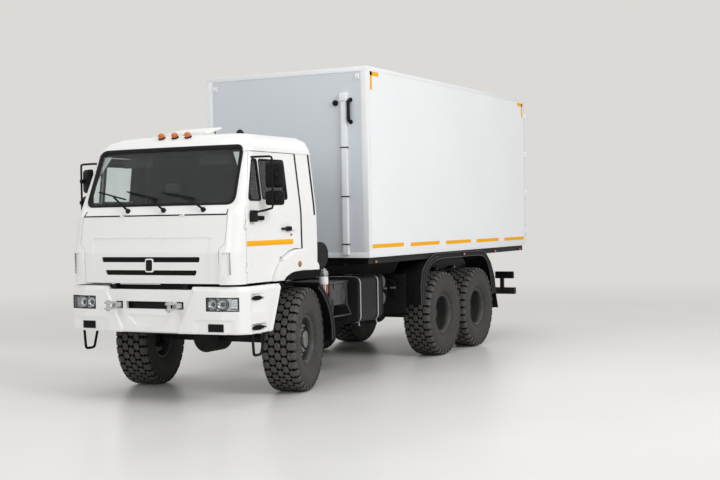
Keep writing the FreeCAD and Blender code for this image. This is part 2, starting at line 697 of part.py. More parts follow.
def door_outline(gap):
    """The door seen from the side; gap draws it out all round for the opening."""
    front, top = "door_front + %s" % gap, "door_top + %s" % gap
    return [(front, "door_low - %s" % gap), (front, "cowl_z"), ("door_front_top + %s" % gap, top),
            ("door_rear - %s" % gap, top), ("door_rear - %s" % gap, "flare_z + flare_radius - 30"),
            ("flare_front + 8 - %s" % gap, "flare_z + flare_radius - 82"),
            ("flare_front + 8 - %s" % gap, "door_low - %s" % gap)]


def cab():
    outer, inner = cab_form("cab_outer", 0), cab_form("cab_inner", size("cab_wall"))
    shell = cut("cab_skin", outer, inner)
    top = block("roof_zone", 3000, 3000, 400, "cab_tail - 100", -1500, "gutter_z")
    skin = common("roof_skin", shell, top)
    ahead = "hatch_hinge_x - hatch_length"
    rim = block("hatch_rim", "hatch_length - 16", "hatch_width - 30", 70, ahead + " + 8",
                "-hatch_width / 2 + 15",
                "roof_z - 66")
    hole = block("hatch_hole", "hatch_length - 60", "hatch_width - 74", 400, ahead + " + 30",
                 "-hatch_width / 2 + 37",
                 "roof_z - 300")
    pins = [rod("hatch_hinge_%d" % k, "hatch_pin", 60, "y", "hatch_hinge_x + hatch_pin_ahead",
                "%d * 200 - 30" % k,
                "roof_z + hatch_pin_ahead") for k in (-1, 1)]
    screen_hole = round_off("screen_hole", prism("screen_outline", "YZ", SCREEN, "door_front_top - 300",
                                                 900),
                            size("screen_round"), Vector(1, 0, 0))
    band = block("gutter_zone", 3000, 3000, "gutter_tall", "cab_tail - 100", -1500, "gutter_z")
    gutter = common("gutter", cut("gutter_skin", cab_form("gutter_form", -size("gutter_out")), inner),
                    band)
    keep(cut("cab_roof", join("roof_rimmed", [skin, gutter, rim] + pins), hole, screen_hole),
         "cab_roof")
    back_zone = block("back_zone", "cab_wall + 100", 3000, "gutter_z - cab_bottom + 10",
                      "cab_tail - 100", -1500,
                      "cab_bottom - 10")
    below_roof = block("below_roof", 3000, 3000, "gutter_z - cab_bottom + 10", "cab_tail - 100", -1500,
                       "cab_bottom - 10")
    keep(common("cab_back_wall", common("back_shell", shell, below_roof), back_zone), "cab_back_wall")
    rear_zone = block("rear_zone", "door_rear - cab_gap - cab_tail - cab_wall", 1500,
                      "gutter_z - cab_bottom + 10", "cab_tail + cab_wall", 0, "cab_bottom - 10")
    side = common("rear_side", shell, rear_zone)
    keep(both("cab_sides", join("cab_side", [side, wheel_flare()])), "cab_sides")
    front_zone = prism("front_zone", "XZ", [
        ("door_front + cab_gap", "cab_bottom - 10"), ("door_front + cab_gap", "cowl_z"),
        ("door_front_top + cab_gap", "gutter_z"), (1500, "gutter_z"), (1500, "cab_bottom - 10")], -1500,
                       3000)
    fairing_form = cab_form("fairing_form", 0, size("fairing_out"))
    fairing_zone = prism("fairing_zone", "YZ", [
        ("hood_low_half + 10", "cab_bottom - 10"), (1300, "cab_bottom - 10"), (1300, "fairing_top"),
        ("hood_low_half + 24", "fairing_top")], "door_front + cab_gap", 400)
    fairing = common("fairing", cut("fairing_skin", fairing_form, inner), fairing_zone)
    vent = prism("vent", "YZ", [(985, 1440), (1078, 1440), (1086, 1700), (1000, 1700)], "vent_floor",
                 100)
    hood = prism("hood_zone", "YZ", panel_outline("cab_gap", "cab_bottom - 20", "cowl_z"),
                 "door_front + 20", 400)
    front = join("front_faired", [common("front_shell", shell, front_zone), fairing, mirror(fairing)])
    opened = cut("front_opened", front, hood, screen_hole, vent, mirror(vent))
    keep(join("cab_front", [opened] + hinge_halves(1) + panel_hinge(1)), "cab_front")
    panel_zone = prism("panel_zone", "YZ", panel_outline("0", "cab_bottom + 8", "cowl_z - cab_gap"),
                       "door_front + 20", 400)
    panel = common("front_panel_plain", shell, panel_zone)
    slots = []
    for k, (low, tall, half_low, half_top) in enumerate(((1592, 59, 675, 688), (1445, 57, 618, 645))):
        slot = prism("grille_outline_%d" % k, "YZ", [
            (-half_low, low), (half_low, low), (half_top, low + tall), (-half_top, low + tall)], 1250,
                     300)
        slots.append(round_off("grille_slot_%d" % k, slot, size("slot_round"), Vector(1, 0, 0)))
    field = prism("panel_field", "YZ", [(-800, "field_low"), (800, "field_low"), (825, "field_top"),
                                        (-825, "field_top")], 1250, 300)
    dip = common("panel_dip", cut("field_skin", outer, cab_form("field_form", size("field_depth"))),
                 field)
    opened = cut("front_panel_open", panel, dip, *slots)
    keep(join("front_panel", [opened] + panel_hinge(-1)), "front_panel")
    glass_shell = cut("glass_skin", cab_form("glass_outer", size("glass_inset")),
                      cab_form("glass_inner", size("glass_inset") + size("glass_gauge")))
    keep(common("grille", glass_shell, group("grille_slots", slots)), "grille")
    floor_form = cab_form("floor_form", size("cab_wall") + size("seat_gap"))
    floor_zone = block("floor_zone", 1330 - (-380), "2 * (sill_half - cab_wall - 7)",
                       "floor_top - cab_bottom",
                       "cab_tail", "-(sill_half - cab_wall - 7)", "cab_bottom")
    firewall = block("firewall", 20, 2200, "cowl_z - floor_top - 10", 1150, -1100, "floor_top - 1")
    ears = [rod("cab_ear_%d" % k, 22, "tilt_ear", "y", "tilt_x", "%d * tilt_y - tilt_ear / 2" % k,
                "tilt_z")
            for k in (-1, 1)]
    arms = [block("cab_arm_%d" % k, 90, "tilt_ear", 21, "tilt_x - 90", "%d * tilt_y - tilt_ear / 2" % k,
                  "cab_bottom - 20") for k in (-1, 1)]
    keep(join("cab_floor", [common("floor_plate", floor_form, floor_zone), firewall] + ears + arms),
         "cab_floor")
    cab_doors(shell, glass_shell)
    keep(common("windscreen", glass_shell, screen_hole), "windscreen")


def panel_outline(gap, low, high):
    """The front panel from the front, wider above the fairings; gap draws it out sideways."""
    side = [("hood_low_half + %s" % gap, low), ("hood_low_half + %s" % gap, "fairing_top"),
            ("hood_half + %s" % gap, "fairing_top + 70"), ("hood_half + %s" % gap, high)]
    return side + [("-(%s)" % y, z) for y, z in side[::-1]]


def hinge_halves(part):
    """The left and right doors' hinge barrels with straps: 1 for the cab's half, -1 for the door's."""
    pieces = []
    for k, z in enumerate((1480, 1960)):
        low = z if part > 0 else z + 50 + size("seat_gap")
        x = "door_front + cab_gap / 2"
        pieces.append(rod("door_barrel_%d_%d" % (part, k), "hinge_pin", 50, "z", x, "door_hinge_y",
                          low))
        pieces.append(block("door_strap_%d_%d" % (part, k), 28, 25, 50, x if part > 0 else x + " - 28",
                            1170, low))
    return pieces + [mirror(piece) for piece in pieces] if part > 0 else pieces


def panel_hinge(part):
    """Small hinges at the front panel's top edge: 1 for the cab's half, -1 for the panel's."""
    pieces = []
    for k in (-1, 1):
        y = 420 if part > 0 else 390
        base = y + size("seat_gap") if part > 0 else y
        low = base if k > 0 else -base - 29
        pieces.append(rod("panel_barrel_%d_%d" % (part, k), "panel_pin", 29, "y", "panel_hinge_x", low,
                          "panel_hinge_z"))
        strap = ("panel_hinge_x - 27", 29, "panel_hinge_z") if part > 0 else ("panel_hinge_x - 13", 14,
                                                                              "panel_hinge_z - 20")
        pieces.append(block("panel_strap_%d_%d" % (part, k), strap[1], 29, 20, strap[0], low, strap[2]))
    return pieces


def wheel_flare():
    """The arch over the front wheel: an upper arc down to the wheel's own opening."""
    half = size("flare_radius")
    cx, cz = size("flare_x"), size("flare_z")
    front, rear, low = size("flare_front"), size("flare_rear"), size("cab_bottom")
    arch, hub = size("arch_radius"), size("hub_height")
    inner, outer = size("sill_half") - size("cab_wall"), size("flare_out")
    crown_z = cz + math.sqrt(half ** 2 - (350 - cx) ** 2)
    rear_z = cz + math.sqrt(half ** 2 - (rear - cx) ** 2)
    open_z = hub + math.sqrt(arch ** 2 - 100 ** 2)
    open_front = math.sqrt(arch ** 2 - (low - hub) ** 2)
    spot = lambda x, z: Vector(x, inner, z)
    edges = [
        Part.makeLine(spot(front, low), spot(front, crown_z - 60)),
        Part.makeLine(spot(front, crown_z - 60), spot(350, crown_z)),
        Part.Arc(spot(350, crown_z), spot(cx, cz + half), spot(rear, rear_z)).toShape(),
        Part.makeLine(spot(rear, rear_z), spot(rear, low)),
        Part.makeLine(spot(rear, low), spot(-open_front + 150, low)),
        Part.makeLine(spot(-open_front + 150, low), spot(-100, open_z - 25)),
        Part.Arc(spot(-100, open_z - 25), spot(120, open_z - 8), spot(open_front - 45, low)).toShape(),
        Part.makeLine(spot(open_front - 45, low), spot(front, low))]
    solid = Part.Face(Part.Wire(edges)).extrude(Vector(0, outer - inner, 0))
    outside = [e for e in solid.Edges if min(v.Y for v in e.Vertexes) > outer - 1]
    rims = [e for e in outside if e.BoundBox.ZMax > low + 1]
    return feature("wheel_flare", solid.makeFillet(size("flare_round"), rims))


def cab_doors(shell, glass_shell):
    """Both doors with their glass and mirrors; the right side is the left one mirrored."""
    holes = [round_off(name + "_hole", prism(name + "_outline", "XZ", points, 900, 400),
                       size("window_round"),
                       Vector(0, 1, 0)) for name,
             points in (("quarter", QUARTER), ("window", SIDE_WINDOW))]
    zone = prism("door_zone", "XZ", door_outline("0"), 0, 1500)
    cheek = rod("flare_clear", "flare_radius + 10", 600, "y", "flare_x", 900, "flare_z")
    panel = cut("door_panel", common("door_shell", shell, zone), *holes, cheek)
    handle = block("door_handle", 170, 30, 26, 150, "cowl_half", 1930)
    door = join("door_joined", [panel, handle] + hinge_halves(-1))
    glass = group("door_glass_pair", [common("quarter_pane", glass_shell, holes[0]),
                                      common("window_pane", glass_shell, holes[1])])
    for side, hand in ((1, "left"), (-1, "right")):
        for item, label in ((door, "door_"), (glass, "door_glass_"), (mirrors(), "mirrors_")):
            keep(item if side > 0 else mirror(item), label + hand)


MADE = {}


def made_once(name, maker):
    if name not in MADE:
        MADE[name] = maker()
    return MADE[name]


def cab_seat():
    """The cab's outside grown by the seat gap: what stands on the cab is cut with it."""
    return made_once("cab_seat", lambda: cab_form("cab_seat", -size("seat_gap")))


def mirrors():
    """Two mirror heads on a tube from the door's front corner."""
    return made_once("mirrors", mirror_set)


def mirror_outline(ahead, gauge, width):
    """A mirror head in plan, turned so that its glass looks back at the driver."""
    turn = math.radians(size("mirror_turn"))
    middle = Vector(size("mirror_x") + ahead, size("mirror_y"), 0)
    along = Vector(math.cos(turn), math.sin(turn), 0) * (gauge / 2)
    across = Vector(-math.sin(turn), math.cos(turn), 0) * (width / 2)
    corners = [middle + along - across, middle + along + across, middle - along + across,
               middle - along - across]
    return [(corner.x, corner.y) for corner in corners]


def mirror_set():
    upper = prism("mirror_upper", "XY", mirror_outline(0, 70, 205), 2410, 290)
    lower = prism("mirror_lower", "XY", mirror_outline(5, 76, 213), 2212, 165)
    x, y, bent_in = size("mirror_x"), size("mirror_y"), 930
    tube = feature("mirror_tube", bar_chain(12, [Vector(bent_in, 1080, 2758), Vector(x, y, 2758),
                                                 Vector(x, y, 2172), Vector(1045, 1190, 2172)]))
    foot = block("mirror_foot", 110, 57, 100, 1000, 1160, 2120)
    return cut("mirror_seated", join("mirror_set", [upper, lower, tube, foot]), cab_seat())


# Cab fittings
def cab_fittings():
    hatch = block("hatch_plate", "hatch_length", "hatch_width", "hatch_gauge", 0, 0, 0)
    hatch.Placement = Placement(Vector(), Rotation(Vector(0, 1, 0), size("hatch_angle")))
    place(hatch, "hatch_hinge_x - 2 - hatch_length * cos(hatch_angle)", "-hatch_width / 2",
          "roof_z + 12 + hatch_length * sin(hatch_angle)")
    keep(hatch, "roof_hatch")
    lamps = [rod("roof_lamp_%d" % k, 32, 103, "z", 830, y, "crown_z - 60") for k,
             y in enumerate((-210, -20, 165))]
    keep(cut("roof_lamps", group("roof_lamp_set", lamps), cab_seat()), "roof_lamps")
    seats = [prism("seat_%d" % k, "XZ", SEAT, y, 500) for k, y in enumerate((330, -830))]
    keep(group("seats", seats), "seats")
    board = prism("dashboard_body", "XZ", [(1150, 1700), (1150, 2195), (1010, 2205), (900, 2165),
                                           (862, 2080),
                                           (880, 1850), (960, 1700)], -1050, 2100)
    keep(join("dashboard", [board] + steering_wheel()), "dashboard")
    blades = group("wiper_set", [wiper(k, *spots) for k, spots in enumerate(WIPERS)])
    keep(cut("wipers", blades, cab_seat()), "wipers")


# A seat from the side: plinth, cushion, back and headrest
SEAT = [(150, "floor_top + seat_gap"), (560, "floor_top + seat_gap"), (560, 1640), (640, 1680),
        (655, 1760), (600, 1800),
        (240, 1770), (150, 2330), (170, 2400), (150, 2540), (70, 2550), (40, 2400), (60, 2320),
        (90, 1740), (150, 1640)]


def steering_wheel():
    """Rim, spokes and column, tilted towards the driver."""
    spot, tilt = (640, 580, 2120), 40
    rim = doc.addObject("Part::Torus", "steering_rim")
    rim.Radius1 = 235
    rim.Radius2 = 15
    rim.Placement = Placement(Vector(), Rotation(Vector(0, 1, 0), -tilt))
    spokes = rod("steering_spokes", 12, 470, "y", spot[0], spot[1] - 235, spot[2])
    column = doc.addObject("Part::Cylinder", "steering_column")
    column.Radius = 30
    column.Height = 400
    column.Placement = Placement(Vector(), Rotation(Vector(0, 1, 0), 180 - tilt))
    return [place(rim, *spot), spokes, place(column, *spot)]


# Wipers: pivot, elbow and the blade's two ends, each as a place across and a height
WIPERS = (((-361, 2172), (-607, 2319), (-882, 2397), (-440, 2300)),
          ((145, 2172), (-99, 2314), (-445, 2391), (16, 2301)),
          ((678, 2172), (430, 2300), (52, 2375), (517, 2300)))


def cab_face(y, z, proud):
    """A point standing proud of the cab's bowed front."""
    low, high = ("cowl", "screen") if z < size("screen_z") else ("screen", "cant")
    share = (z - size(low + "_z")) / (size(high + "_z") - size(low + "_z"))
    nose = size(low + "_nose") * (1 - share) + size(high + "_nose") * share
    half = size(low + "_half") * (1 - share) + size(high + "_half") * share
    low_bow, high_bow = size("low_bow"), size("high_bow")
    bow = high_bow if low == "screen" else low_bow * (1 - share) + high_bow * share
    return Vector(nose - bow * (y / (half - size("high_corner"))) ** 2 + proud, y, z)


def wiper(k, pivot, elbow, tip, heel):
    """One wiper: a post on the cowl, a cranked arm and its blade."""
    root, stand = cab_face(*pivot, -16), cab_face(*pivot, 26)
    joint = cab_face(*elbow, 34)
    ends = [cab_face(*tip, 16), cab_face(*heel, 16)]
    post = Part.makeCylinder(14, (stand - root).Length, root, stand - root)
    arm = bar_chain(6, [stand, joint])
    blade = bar_chain(7, ends)
    middle = (ends[0] + ends[1]) * 0.5
    link = bar_chain(6, [joint, middle])
    return feature("wiper_%d" % k, post.fuse([arm, blade, link, Part.makeSphere(9, joint)]))


LAMPS = []


def bar_chain(radius, spots):
    """Round bar through points, with a ball at each turn."""
    shape = None
    for start, end in zip(spots, spots[1:]):
        piece = Part.makeCylinder(radius, (end - start).Length, start, end - start)
        shape = piece if shape is None else shape.fuse(piece)
    for spot in spots[1:-1]:
        shape = shape.fuse(Part.makeSphere(radius, spot))
    return shape


def hoop(name, side):
    """The lowest step: a bar bent down below the bumper's corner."""
    y = side * (size("box_width") / 2 - 60)
    top = size("bumper_low") - size("seat_gap")
    low = top - size("hoop_drop")
    spots = [Vector(x, y, z) for x, z in ((1130, top), (1105, low), (950, low), (870, top))]
    return feature(name, bar_chain(size("hoop_radius"), spots))


# Bumper: a wrap-round pressing with lamp openings and step recesses
def bumper():
    g, half, nose = "bumper_gauge", "box_width / 2", "bumper_nose"
    def plan(inset):
        return [(440, "%s - %s" % (half, inset)), ("1240 - %s / 2" % inset, "%s - %s" % (half, inset)),
                ("1345 - %s" % inset, "%s - 80 - %s" % (half, inset)),
                ("1405 - %s" % inset, "950 - %s / 2" % inset),
                ("%s - %s" % (nose, inset), 330)]

    def ring(outside, inside):
        """The wall between two insets, from the left end round the front to the right end."""
        out, back = plan(outside), plan(inside)
        right = [(x, "-(%s)" % y) for x, y in out]
        right_back = [(x, "-(%s)" % y) for x, y in back]
        return out + right[::-1] + right_back + back[::-1]

    wall = prism("bumper_wall", "XY", ring("0", g), "bumper_low", "bumper_corner_top - bumper_low")
    dip = prism("bumper_dip", "YZ", [(-575, "bumper_top"), (575, "bumper_top"), (650, 1400),
                                     (-650, 1400)], 1200, 400)
    rake = prism("bumper_rake", "XZ", [(400, 1400), (556, 1400), (800, "bumper_low - 15"),
                                       (400, "bumper_low - 15")],
                 -1400, 2800)
    window_hole = block("bumper_window", 200, 654, 84, 1300, -327, 1066)
    ports = [block("fork_port_%d" % k, 200, 96, 84, 1300, "%d * fork_y - 48" % k, 1066)
             for k in (-1, 1)]
    port = block("lamp_port_square", 300, 394, 155, 1200, 771, 1050)
    port = round_off("lamp_port", port, size("lamp_round"), Vector(1, 0, 0))
    lamps = [port, mirror(port)]
    centre = prism("bumper_centre", "XY", [("centre_face", -575), ("centre_face + 40", -625),
                                           ("centre_face + 40", 625),
                                           ("centre_face", 575)], 700, 700)
    plate = block("plate_recess", 100, 520, 107, "plate_face", -260, 886)
    holes = [rod("plate_hole_%d" % k, "plate_hole / 2", 200, "x", 1300, "%d * plate_pitch / 2" % k, 940)
             for k in (-1, 1)]
    fogs = [block("fog_recess_%d" % k, 100, 207, 95, 1375, y, 820) for k, y in ((-1, -992), (1, 785))]
    steps = [block("step_recess_%d_%d" % (k, z), "step_length + 10", 60, 78, 905,
                   "%d * box_width / 2 - 30" % k, z)
             for k in (-1, 1) for z in (1150, 822)]
    keep(cut("bumper", wall, dip, rake, centre, window_hole, plate,
             *(ports + lamps + holes + fogs + steps)), "bumper")
    fill = block("headlamp_fill", 300, "394 - 2 * seat_gap", "155 - 2 * seat_gap", 1200,
                 "771 + seat_gap",
                 "1050 + seat_gap")
    fill = round_off("headlamp_block", fill, size("lamp_round"), Vector(1, 0, 0))
    lamp = common("headlamp", prism("headlamp_wall", "XY", ring("6", "44"), 1000, 300), fill)
    LAMPS.extend([lamp, mirror(lamp)])
    blanks = [block("fog_blank_%d" % k, 12, 200, 88, "1375 + seat_gap", y, 823.5) for k,
              y in ((-1, -988.5), (1, 788.5))]
    treads = [block("tread_%d_%d" % (k, z), "step_length", 26, 30, 910,
                    "%d * (box_width / 2 - 17 + seat_gap) - 13" % k, z)
              for k in (-1, 1) for z in (1165, 837)]
    hoops = [hoop("hoop_%d" % k, k) for k in (-1, 1)]
    skid = block("skid_plate", 125, 900, 12, 1290, -450, "bumper_low - 12 - seat_gap")
    keep(group("bumper_fittings", blanks + treads + hoops + [skid]), "bumper_fittings")
    forks = []
    for k in (-1, 1):
        shank = block("fork_shank_%d" % k, "front_reach - 140 - frame_front - seat_gap", 70, 64,
                      "frame_front + seat_gap",
                      "%d * fork_y - 35" % k, 1076)
        plates = [block("fork_plate_%d_%d" % (k, z), 160, 70, 18, "front_reach - 160",
                        "%d * fork_y - 35" % k, z)
                  for z in (1076, 1122)]
        pin = rod("fork_pin_%d" % k, 16, 110, "z", "front_reach - 40", "%d * fork_y" % k, 1053)
        forks.append(join("fork_%d" % k, [shank, pin] + plates))
    keep(group("tow_forks", forks), "tow_forks")


# Tanks and boxes on the sides of the frame
def side_equipment():
    length = "tank_front - tank_rear"
    tank = block("fuel_tank_plain", length, "tank_out - tank_in", "tank_top - tank_low", "tank_rear",
                 "tank_in",
                 "tank_low")
    shell = [round_off("fuel_tank_round", tank, size("tank_round"), Vector(1, 0, 0))]
    for k, x in enumerate(("tank_front - 100", "tank_rear + 120")):
        strap = block("tank_strap_%d" % k, "strap_width", "tank_out - tank_in + 2 * strap_gauge",
                      "tank_top - tank_low + 2 * strap_gauge", x, "tank_in - strap_gauge",
                      "tank_low - strap_gauge")
        shell.append(round_off("strap_round_%d" % k, strap, size("tank_round") + size("strap_gauge"),
                               Vector(1, 0, 0)))
    shell.append(rod("tank_cap", 45, 40, "z", -1503, "tank_out - 190", "tank_top - 5"))
    bracket = block("tank_bracket", 60, "tank_in - frame_width / 2 - seat_gap", 400, "tank_rear + 120",
                    "frame_width / 2 + seat_gap", "rail_top - 380")
    bracket_two = block("tank_bracket_two", 60, "tank_in - frame_width / 2 - seat_gap", 400,
                        "tank_front - 180",
                        "frame_width / 2 + seat_gap", "rail_top - 380")
    keep(join("fuel_tank", shell + [bracket, bracket_two]), "fuel_tank")
    battery = block("battery_case", 480, 560, 300, -1330, 520, 950)
    lid = block("battery_lid", 492, 572, 34, -1336, 514, 1220)
    arm = block("battery_arm", 300, "521 - frame_width / 2 - seat_gap", 60, -1240,
                "frame_width / 2 + seat_gap", 1000)
    keep(join("battery_box", [battery, lid, arm]), "battery_box")
    tanks = [rod("air_tank_%d" % k, 105, "box_width / 2 - 690", "y", -2300, 560, z) for k,
             z in enumerate((960, 1175))]
    plates = block("air_tank_plate", 12, "561 - frame_width / 2 - seat_gap", 420, -2306,
                   "frame_width / 2 + seat_gap", 860)
    keep(join("air_tanks", tanks + [plates]), "air_tanks")
    drum = rod("air_drum", 165, 560, "y", -660, 540, 1600)
    stand = block("air_stand", 60, 90, "1450 - rail_top - seat_gap", -690, "frame_width / 2 - 90",
                  "rail_top + seat_gap")
    shelf = block("air_shelf", 60, 500, 20, -690, "frame_width / 2 - 90", 1430)
    canister = rod("dryer_canister", 56, 330, "z", -745, 1055, 1105)
    arm = block("dryer_arm", 40, 680, 40, -765, "frame_width / 2 + seat_gap", 1130)
    keep(group("air_cleaner", [join("air_intake", [drum, stand, shelf]),
                               join("air_dryer", [canister, arm])]),
         "air_cleaner")
    silencer = rod("silencer", 150, 700, "x", -1500, -700, 950)
    hanger = block("silencer_hanger", 50, "560 - frame_width / 2 - seat_gap", 60, -1300,
                   "-560", 980)
    keep(join("exhaust", [silencer, hanger]), "exhaust")


# Mudguards over the front wheels' backs and over the bogie
# The rear guard's rim and the inner edge of its side lip: ahead of the bogie's middle, below the box
GUARD_RIM = ((1482, 735), (1497, 461), (1437, 246), (1274, 122), (1120, 55), (1002, 25), (860, 18),
             (-840, 30),
             (-940, 52), (-1036, 104), (-1197, 233), (-1300, 380), (-1356, 477), (-1414, 742))
GUARD_LIP = ((-1275, 742), (-1217, 569), (-1158, 367), (-1032, 190), (-904, 123), (-710, 98), (699, 94),
             (923, 106),
             (1143, 182), (1254, 288), (1339, 426), (1370, 735))


def mudguards():
    hub = size("hub_height")
    inner = size("guard_radius")
    outer = inner + size("guard_gauge")
    low, width = size("guard_in"), size("guard_out") - size("guard_in")
    angles = [math.radians(a) for a in (186, 150, 122)]
    def arc(radius, turn):
        spots = [Vector(radius * math.cos(a), low, hub + radius * math.sin(a)) for a in turn]
        return Part.Arc(*spots).toShape(), spots
    outside, far = arc(outer, angles)
    inside, near = arc(inner, angles[::-1])
    rim_arc, rim = arc(outer - size("guard_flange"), angles[::-1])
    wire = Part.Wire([outside, Part.makeLine(far[-1], near[0]), inside,
                      Part.makeLine(near[-1], far[0])])
    front = feature("front_guard", Part.Face(wire).extrude(Vector(0, width, 0)))
    stay = block("guard_stay", 25, "guard_in - frame_width / 2 - seat_gap + 10", 30, -675,
                 "frame_width / 2 + seat_gap",
                 1000)
    lip = feature("front_guard_lip", Part.Face(Part.Wire([
        outside, Part.makeLine(far[-1], rim[0]), rim_arc, Part.makeLine(rim[-1], far[0])])).extrude(
        Vector(0, size("lip_gauge"), 0)), Placement(Vector(axle_x(), width - size("lip_gauge"), 0),
                                                    Rotation()))
    front_set = join("front_guard_set", [front, stay, lip])
    middle = "-wheelbase - bogie_spread / 2"
    side, inner_side = "box_width / 2 - guard_tuck", "track / 2 - 240"
    under_rail = [(x, max(drop, size("rail_clear"))) for x, drop in GUARD_RIM]
    gauge = size("lip_gauge")
    lower = [(x - math.copysign(gauge, x) * (drop > size("rail_clear")), drop + gauge * (drop < 300))
             for x, drop in under_rail]
    spots = lambda rim: [("%s + %s" % (middle, x), "box_bottom - %s" % drop) for x, drop in rim]
    sheet_piece = prism("rear_guard", "XZ", spots(under_rail + lower[::-1]), inner_side,
                        "%s - (%s)" % (side, inner_side))
    band = prism("rear_guard_band", "XZ", spots(list(GUARD_RIM) + list(GUARD_LIP)),
                 side + " - lip_gauge", "lip_gauge")
    flap = prism("rear_flap", "XZ", spots([(-1414, 740), (-1414 + gauge, 742), (-1500 + gauge, 987),
                                           (-1507, 987)]),
                 inner_side, "%s - (%s)" % (side, inner_side))
    rear = join("rear_guard_joined", [sheet_piece, band, flap])
    stays = [block("rear_stay_%d" % k, 40, "track / 2 - 230 - frame_width / 2 - seat_gap", 40,
                   middle + " + %d" % x,
                   "frame_width / 2 + seat_gap", 1120) for k, x in enumerate((1130, -1170))]
    rear_set = join("rear_guard_set", [rear] + stays)
    keep(group("mudguards", [front_set, mirror(front_set), rear_set, mirror(rear_set)]), "mudguards")


def lamps_and_tail():
    lamps = list(LAMPS)
    for k, (x, tuck) in enumerate(((-1896, "40"), (-4865, "guard_tuck"), (-6200, "40"), (-7334, "40"))):
        lamp = block("marker_%d" % k, 60, 22, 34, x, "box_width / 2 - %s + seat_gap" % tuck,
                     "box_bottom - edge_rail + 8")
        lamps += [lamp, mirror(lamp)]
    tail = block("tail_lamp", 70, 330, 120, "frame_rear - 70 - seat_gap", 760, 960)
    lamps += [tail, mirror(tail)]
    keep(group("lamps", lamps), "lamps")
    bar = block("under_bar", 90, 2300, 110, "frame_rear + 20", -1150, 700)
    legs = [block("under_leg_%d" % k, 70, 60, "rail_top - rail_height - 700 - seat_gap",
                  "frame_rear + 30",
                  "%d * 390 - 30" % k, 700) for k in (-1, 1)]
    shelf = [block("lamp_leg_%d" % k, 50, 60, 270, "frame_rear", "%d * 900 - 30" % k, 700)
             for k in (-1, 1)]
    keep(join("rear_bumper", [bar] + legs + shelf), "rear_bumper")
    shank = block("coupling_block", 150, 200, 160, "frame_rear - 150 - seat_gap", -100, 940)
    plate_low = block("coupling_jaw_low", 130, 160, 25, "frame_rear - 270", -80, 950)
    plate_high = block("coupling_jaw_high", 130, 160, 25, "frame_rear - 270", -80, 1065)
    jaw = join("coupling_joined", [shank, plate_low, plate_high])
    bore = rod("coupling_bore", "coupling_pin / 2", 400, "z", "frame_rear - 215", 0, 850)
    keep(cut("tow_coupling", jaw, bore), "tow_coupling")


running_gear()
knuckle(1, "left")
knuckle(-1, "right")
axles()
frame()
powertrain()
prop_shafts()
springs()
box_body()
box_door(1, "left")
box_door(-1, "right")
box_subframe()
cab()
cab_fittings()
bumper()
side_equipment()
mudguards()
lamps_and_tail()
doc.recompute()
tyres()
doc.recompute()

for item in doc.Objects:
    if {"Invalid", "Error"} & set(item.State):
        raise RuntimeError("%s did not build: %s" % (item.Name, item.State))
for item in PARTS:
    if item.Shape.isNull() or not item.Shape.isValid():
        raise RuntimeError("%s has no valid shape" % item.Label)
for item in PARTS:
    item.Shape.exportStep("parts/%s.step" % item.Label)
print("pieces", len(PARTS))
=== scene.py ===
# %% [markdown]
# # Dressing a box-bodied off-road truck
# The packed CAD model gives every solid its true size and place. This notebook adds the looks:
# paint, rubber, glass and lamps, and the fine pieces that a drawing of the structure leaves plain.
# We work in metres, with +X to the front, +Y to the driver's left and +Z up.

# %% Load the frame
import json
import math

import bmesh
import bpy
from mathutils import Matrix, Vector
from mathutils.bvhtree import BVHTree

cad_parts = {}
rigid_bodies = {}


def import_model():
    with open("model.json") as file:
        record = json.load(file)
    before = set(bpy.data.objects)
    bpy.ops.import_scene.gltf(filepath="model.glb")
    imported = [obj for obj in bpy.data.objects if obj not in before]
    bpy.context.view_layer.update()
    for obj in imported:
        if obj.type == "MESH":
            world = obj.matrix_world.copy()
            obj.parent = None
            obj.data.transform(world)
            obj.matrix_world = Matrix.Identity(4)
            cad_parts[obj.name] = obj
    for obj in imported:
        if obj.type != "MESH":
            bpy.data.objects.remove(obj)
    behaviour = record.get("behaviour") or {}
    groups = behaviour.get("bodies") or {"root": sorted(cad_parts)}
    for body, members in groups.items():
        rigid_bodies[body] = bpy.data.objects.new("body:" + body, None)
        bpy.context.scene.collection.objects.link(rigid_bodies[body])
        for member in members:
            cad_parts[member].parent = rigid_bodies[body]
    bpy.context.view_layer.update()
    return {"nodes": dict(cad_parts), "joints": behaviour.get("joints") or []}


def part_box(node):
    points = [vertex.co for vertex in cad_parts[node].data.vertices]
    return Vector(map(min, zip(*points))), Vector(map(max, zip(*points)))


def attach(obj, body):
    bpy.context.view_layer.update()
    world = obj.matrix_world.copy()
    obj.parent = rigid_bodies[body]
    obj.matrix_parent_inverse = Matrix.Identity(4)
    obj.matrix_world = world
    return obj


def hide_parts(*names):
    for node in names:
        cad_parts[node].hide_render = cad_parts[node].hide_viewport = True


for leftover in list(bpy.data.objects):
    bpy.data.objects.remove(leftover)
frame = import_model()
AXLE = round(sum(j["pos_m"][0] for j in frame["joints"] if j["name"] == "steer_left"), 5)
print("nodes", len(frame["nodes"]), "front axle at x =", AXLE)

# %% [markdown]
# ## Camera
# The photograph was taken from the front left, a little above the bumper, with a long lens.
# The camera's place and its three directions were found by fitting known lengths of the truck,
# so we write its matrix directly instead of aiming it with a constraint.

# %% Camera
FOCAL_PIXELS, PHOTO_WIDTH, SENSOR = 1228.457, 720, 36.0
EYE = Vector((12.61046 + AXLE, 8.56114, 2.06717))
RIGHT, UP, BACK = (-0.46313, 0.886127, -0.017005), (-0.024639, 0.006306, 0.999677), (0.885948, 0.463399, 0.018913)


def link(name, data):
    """A new object in the scene."""
    made = bpy.data.objects.new(name, data)
    bpy.context.scene.collection.objects.link(made)
    return made


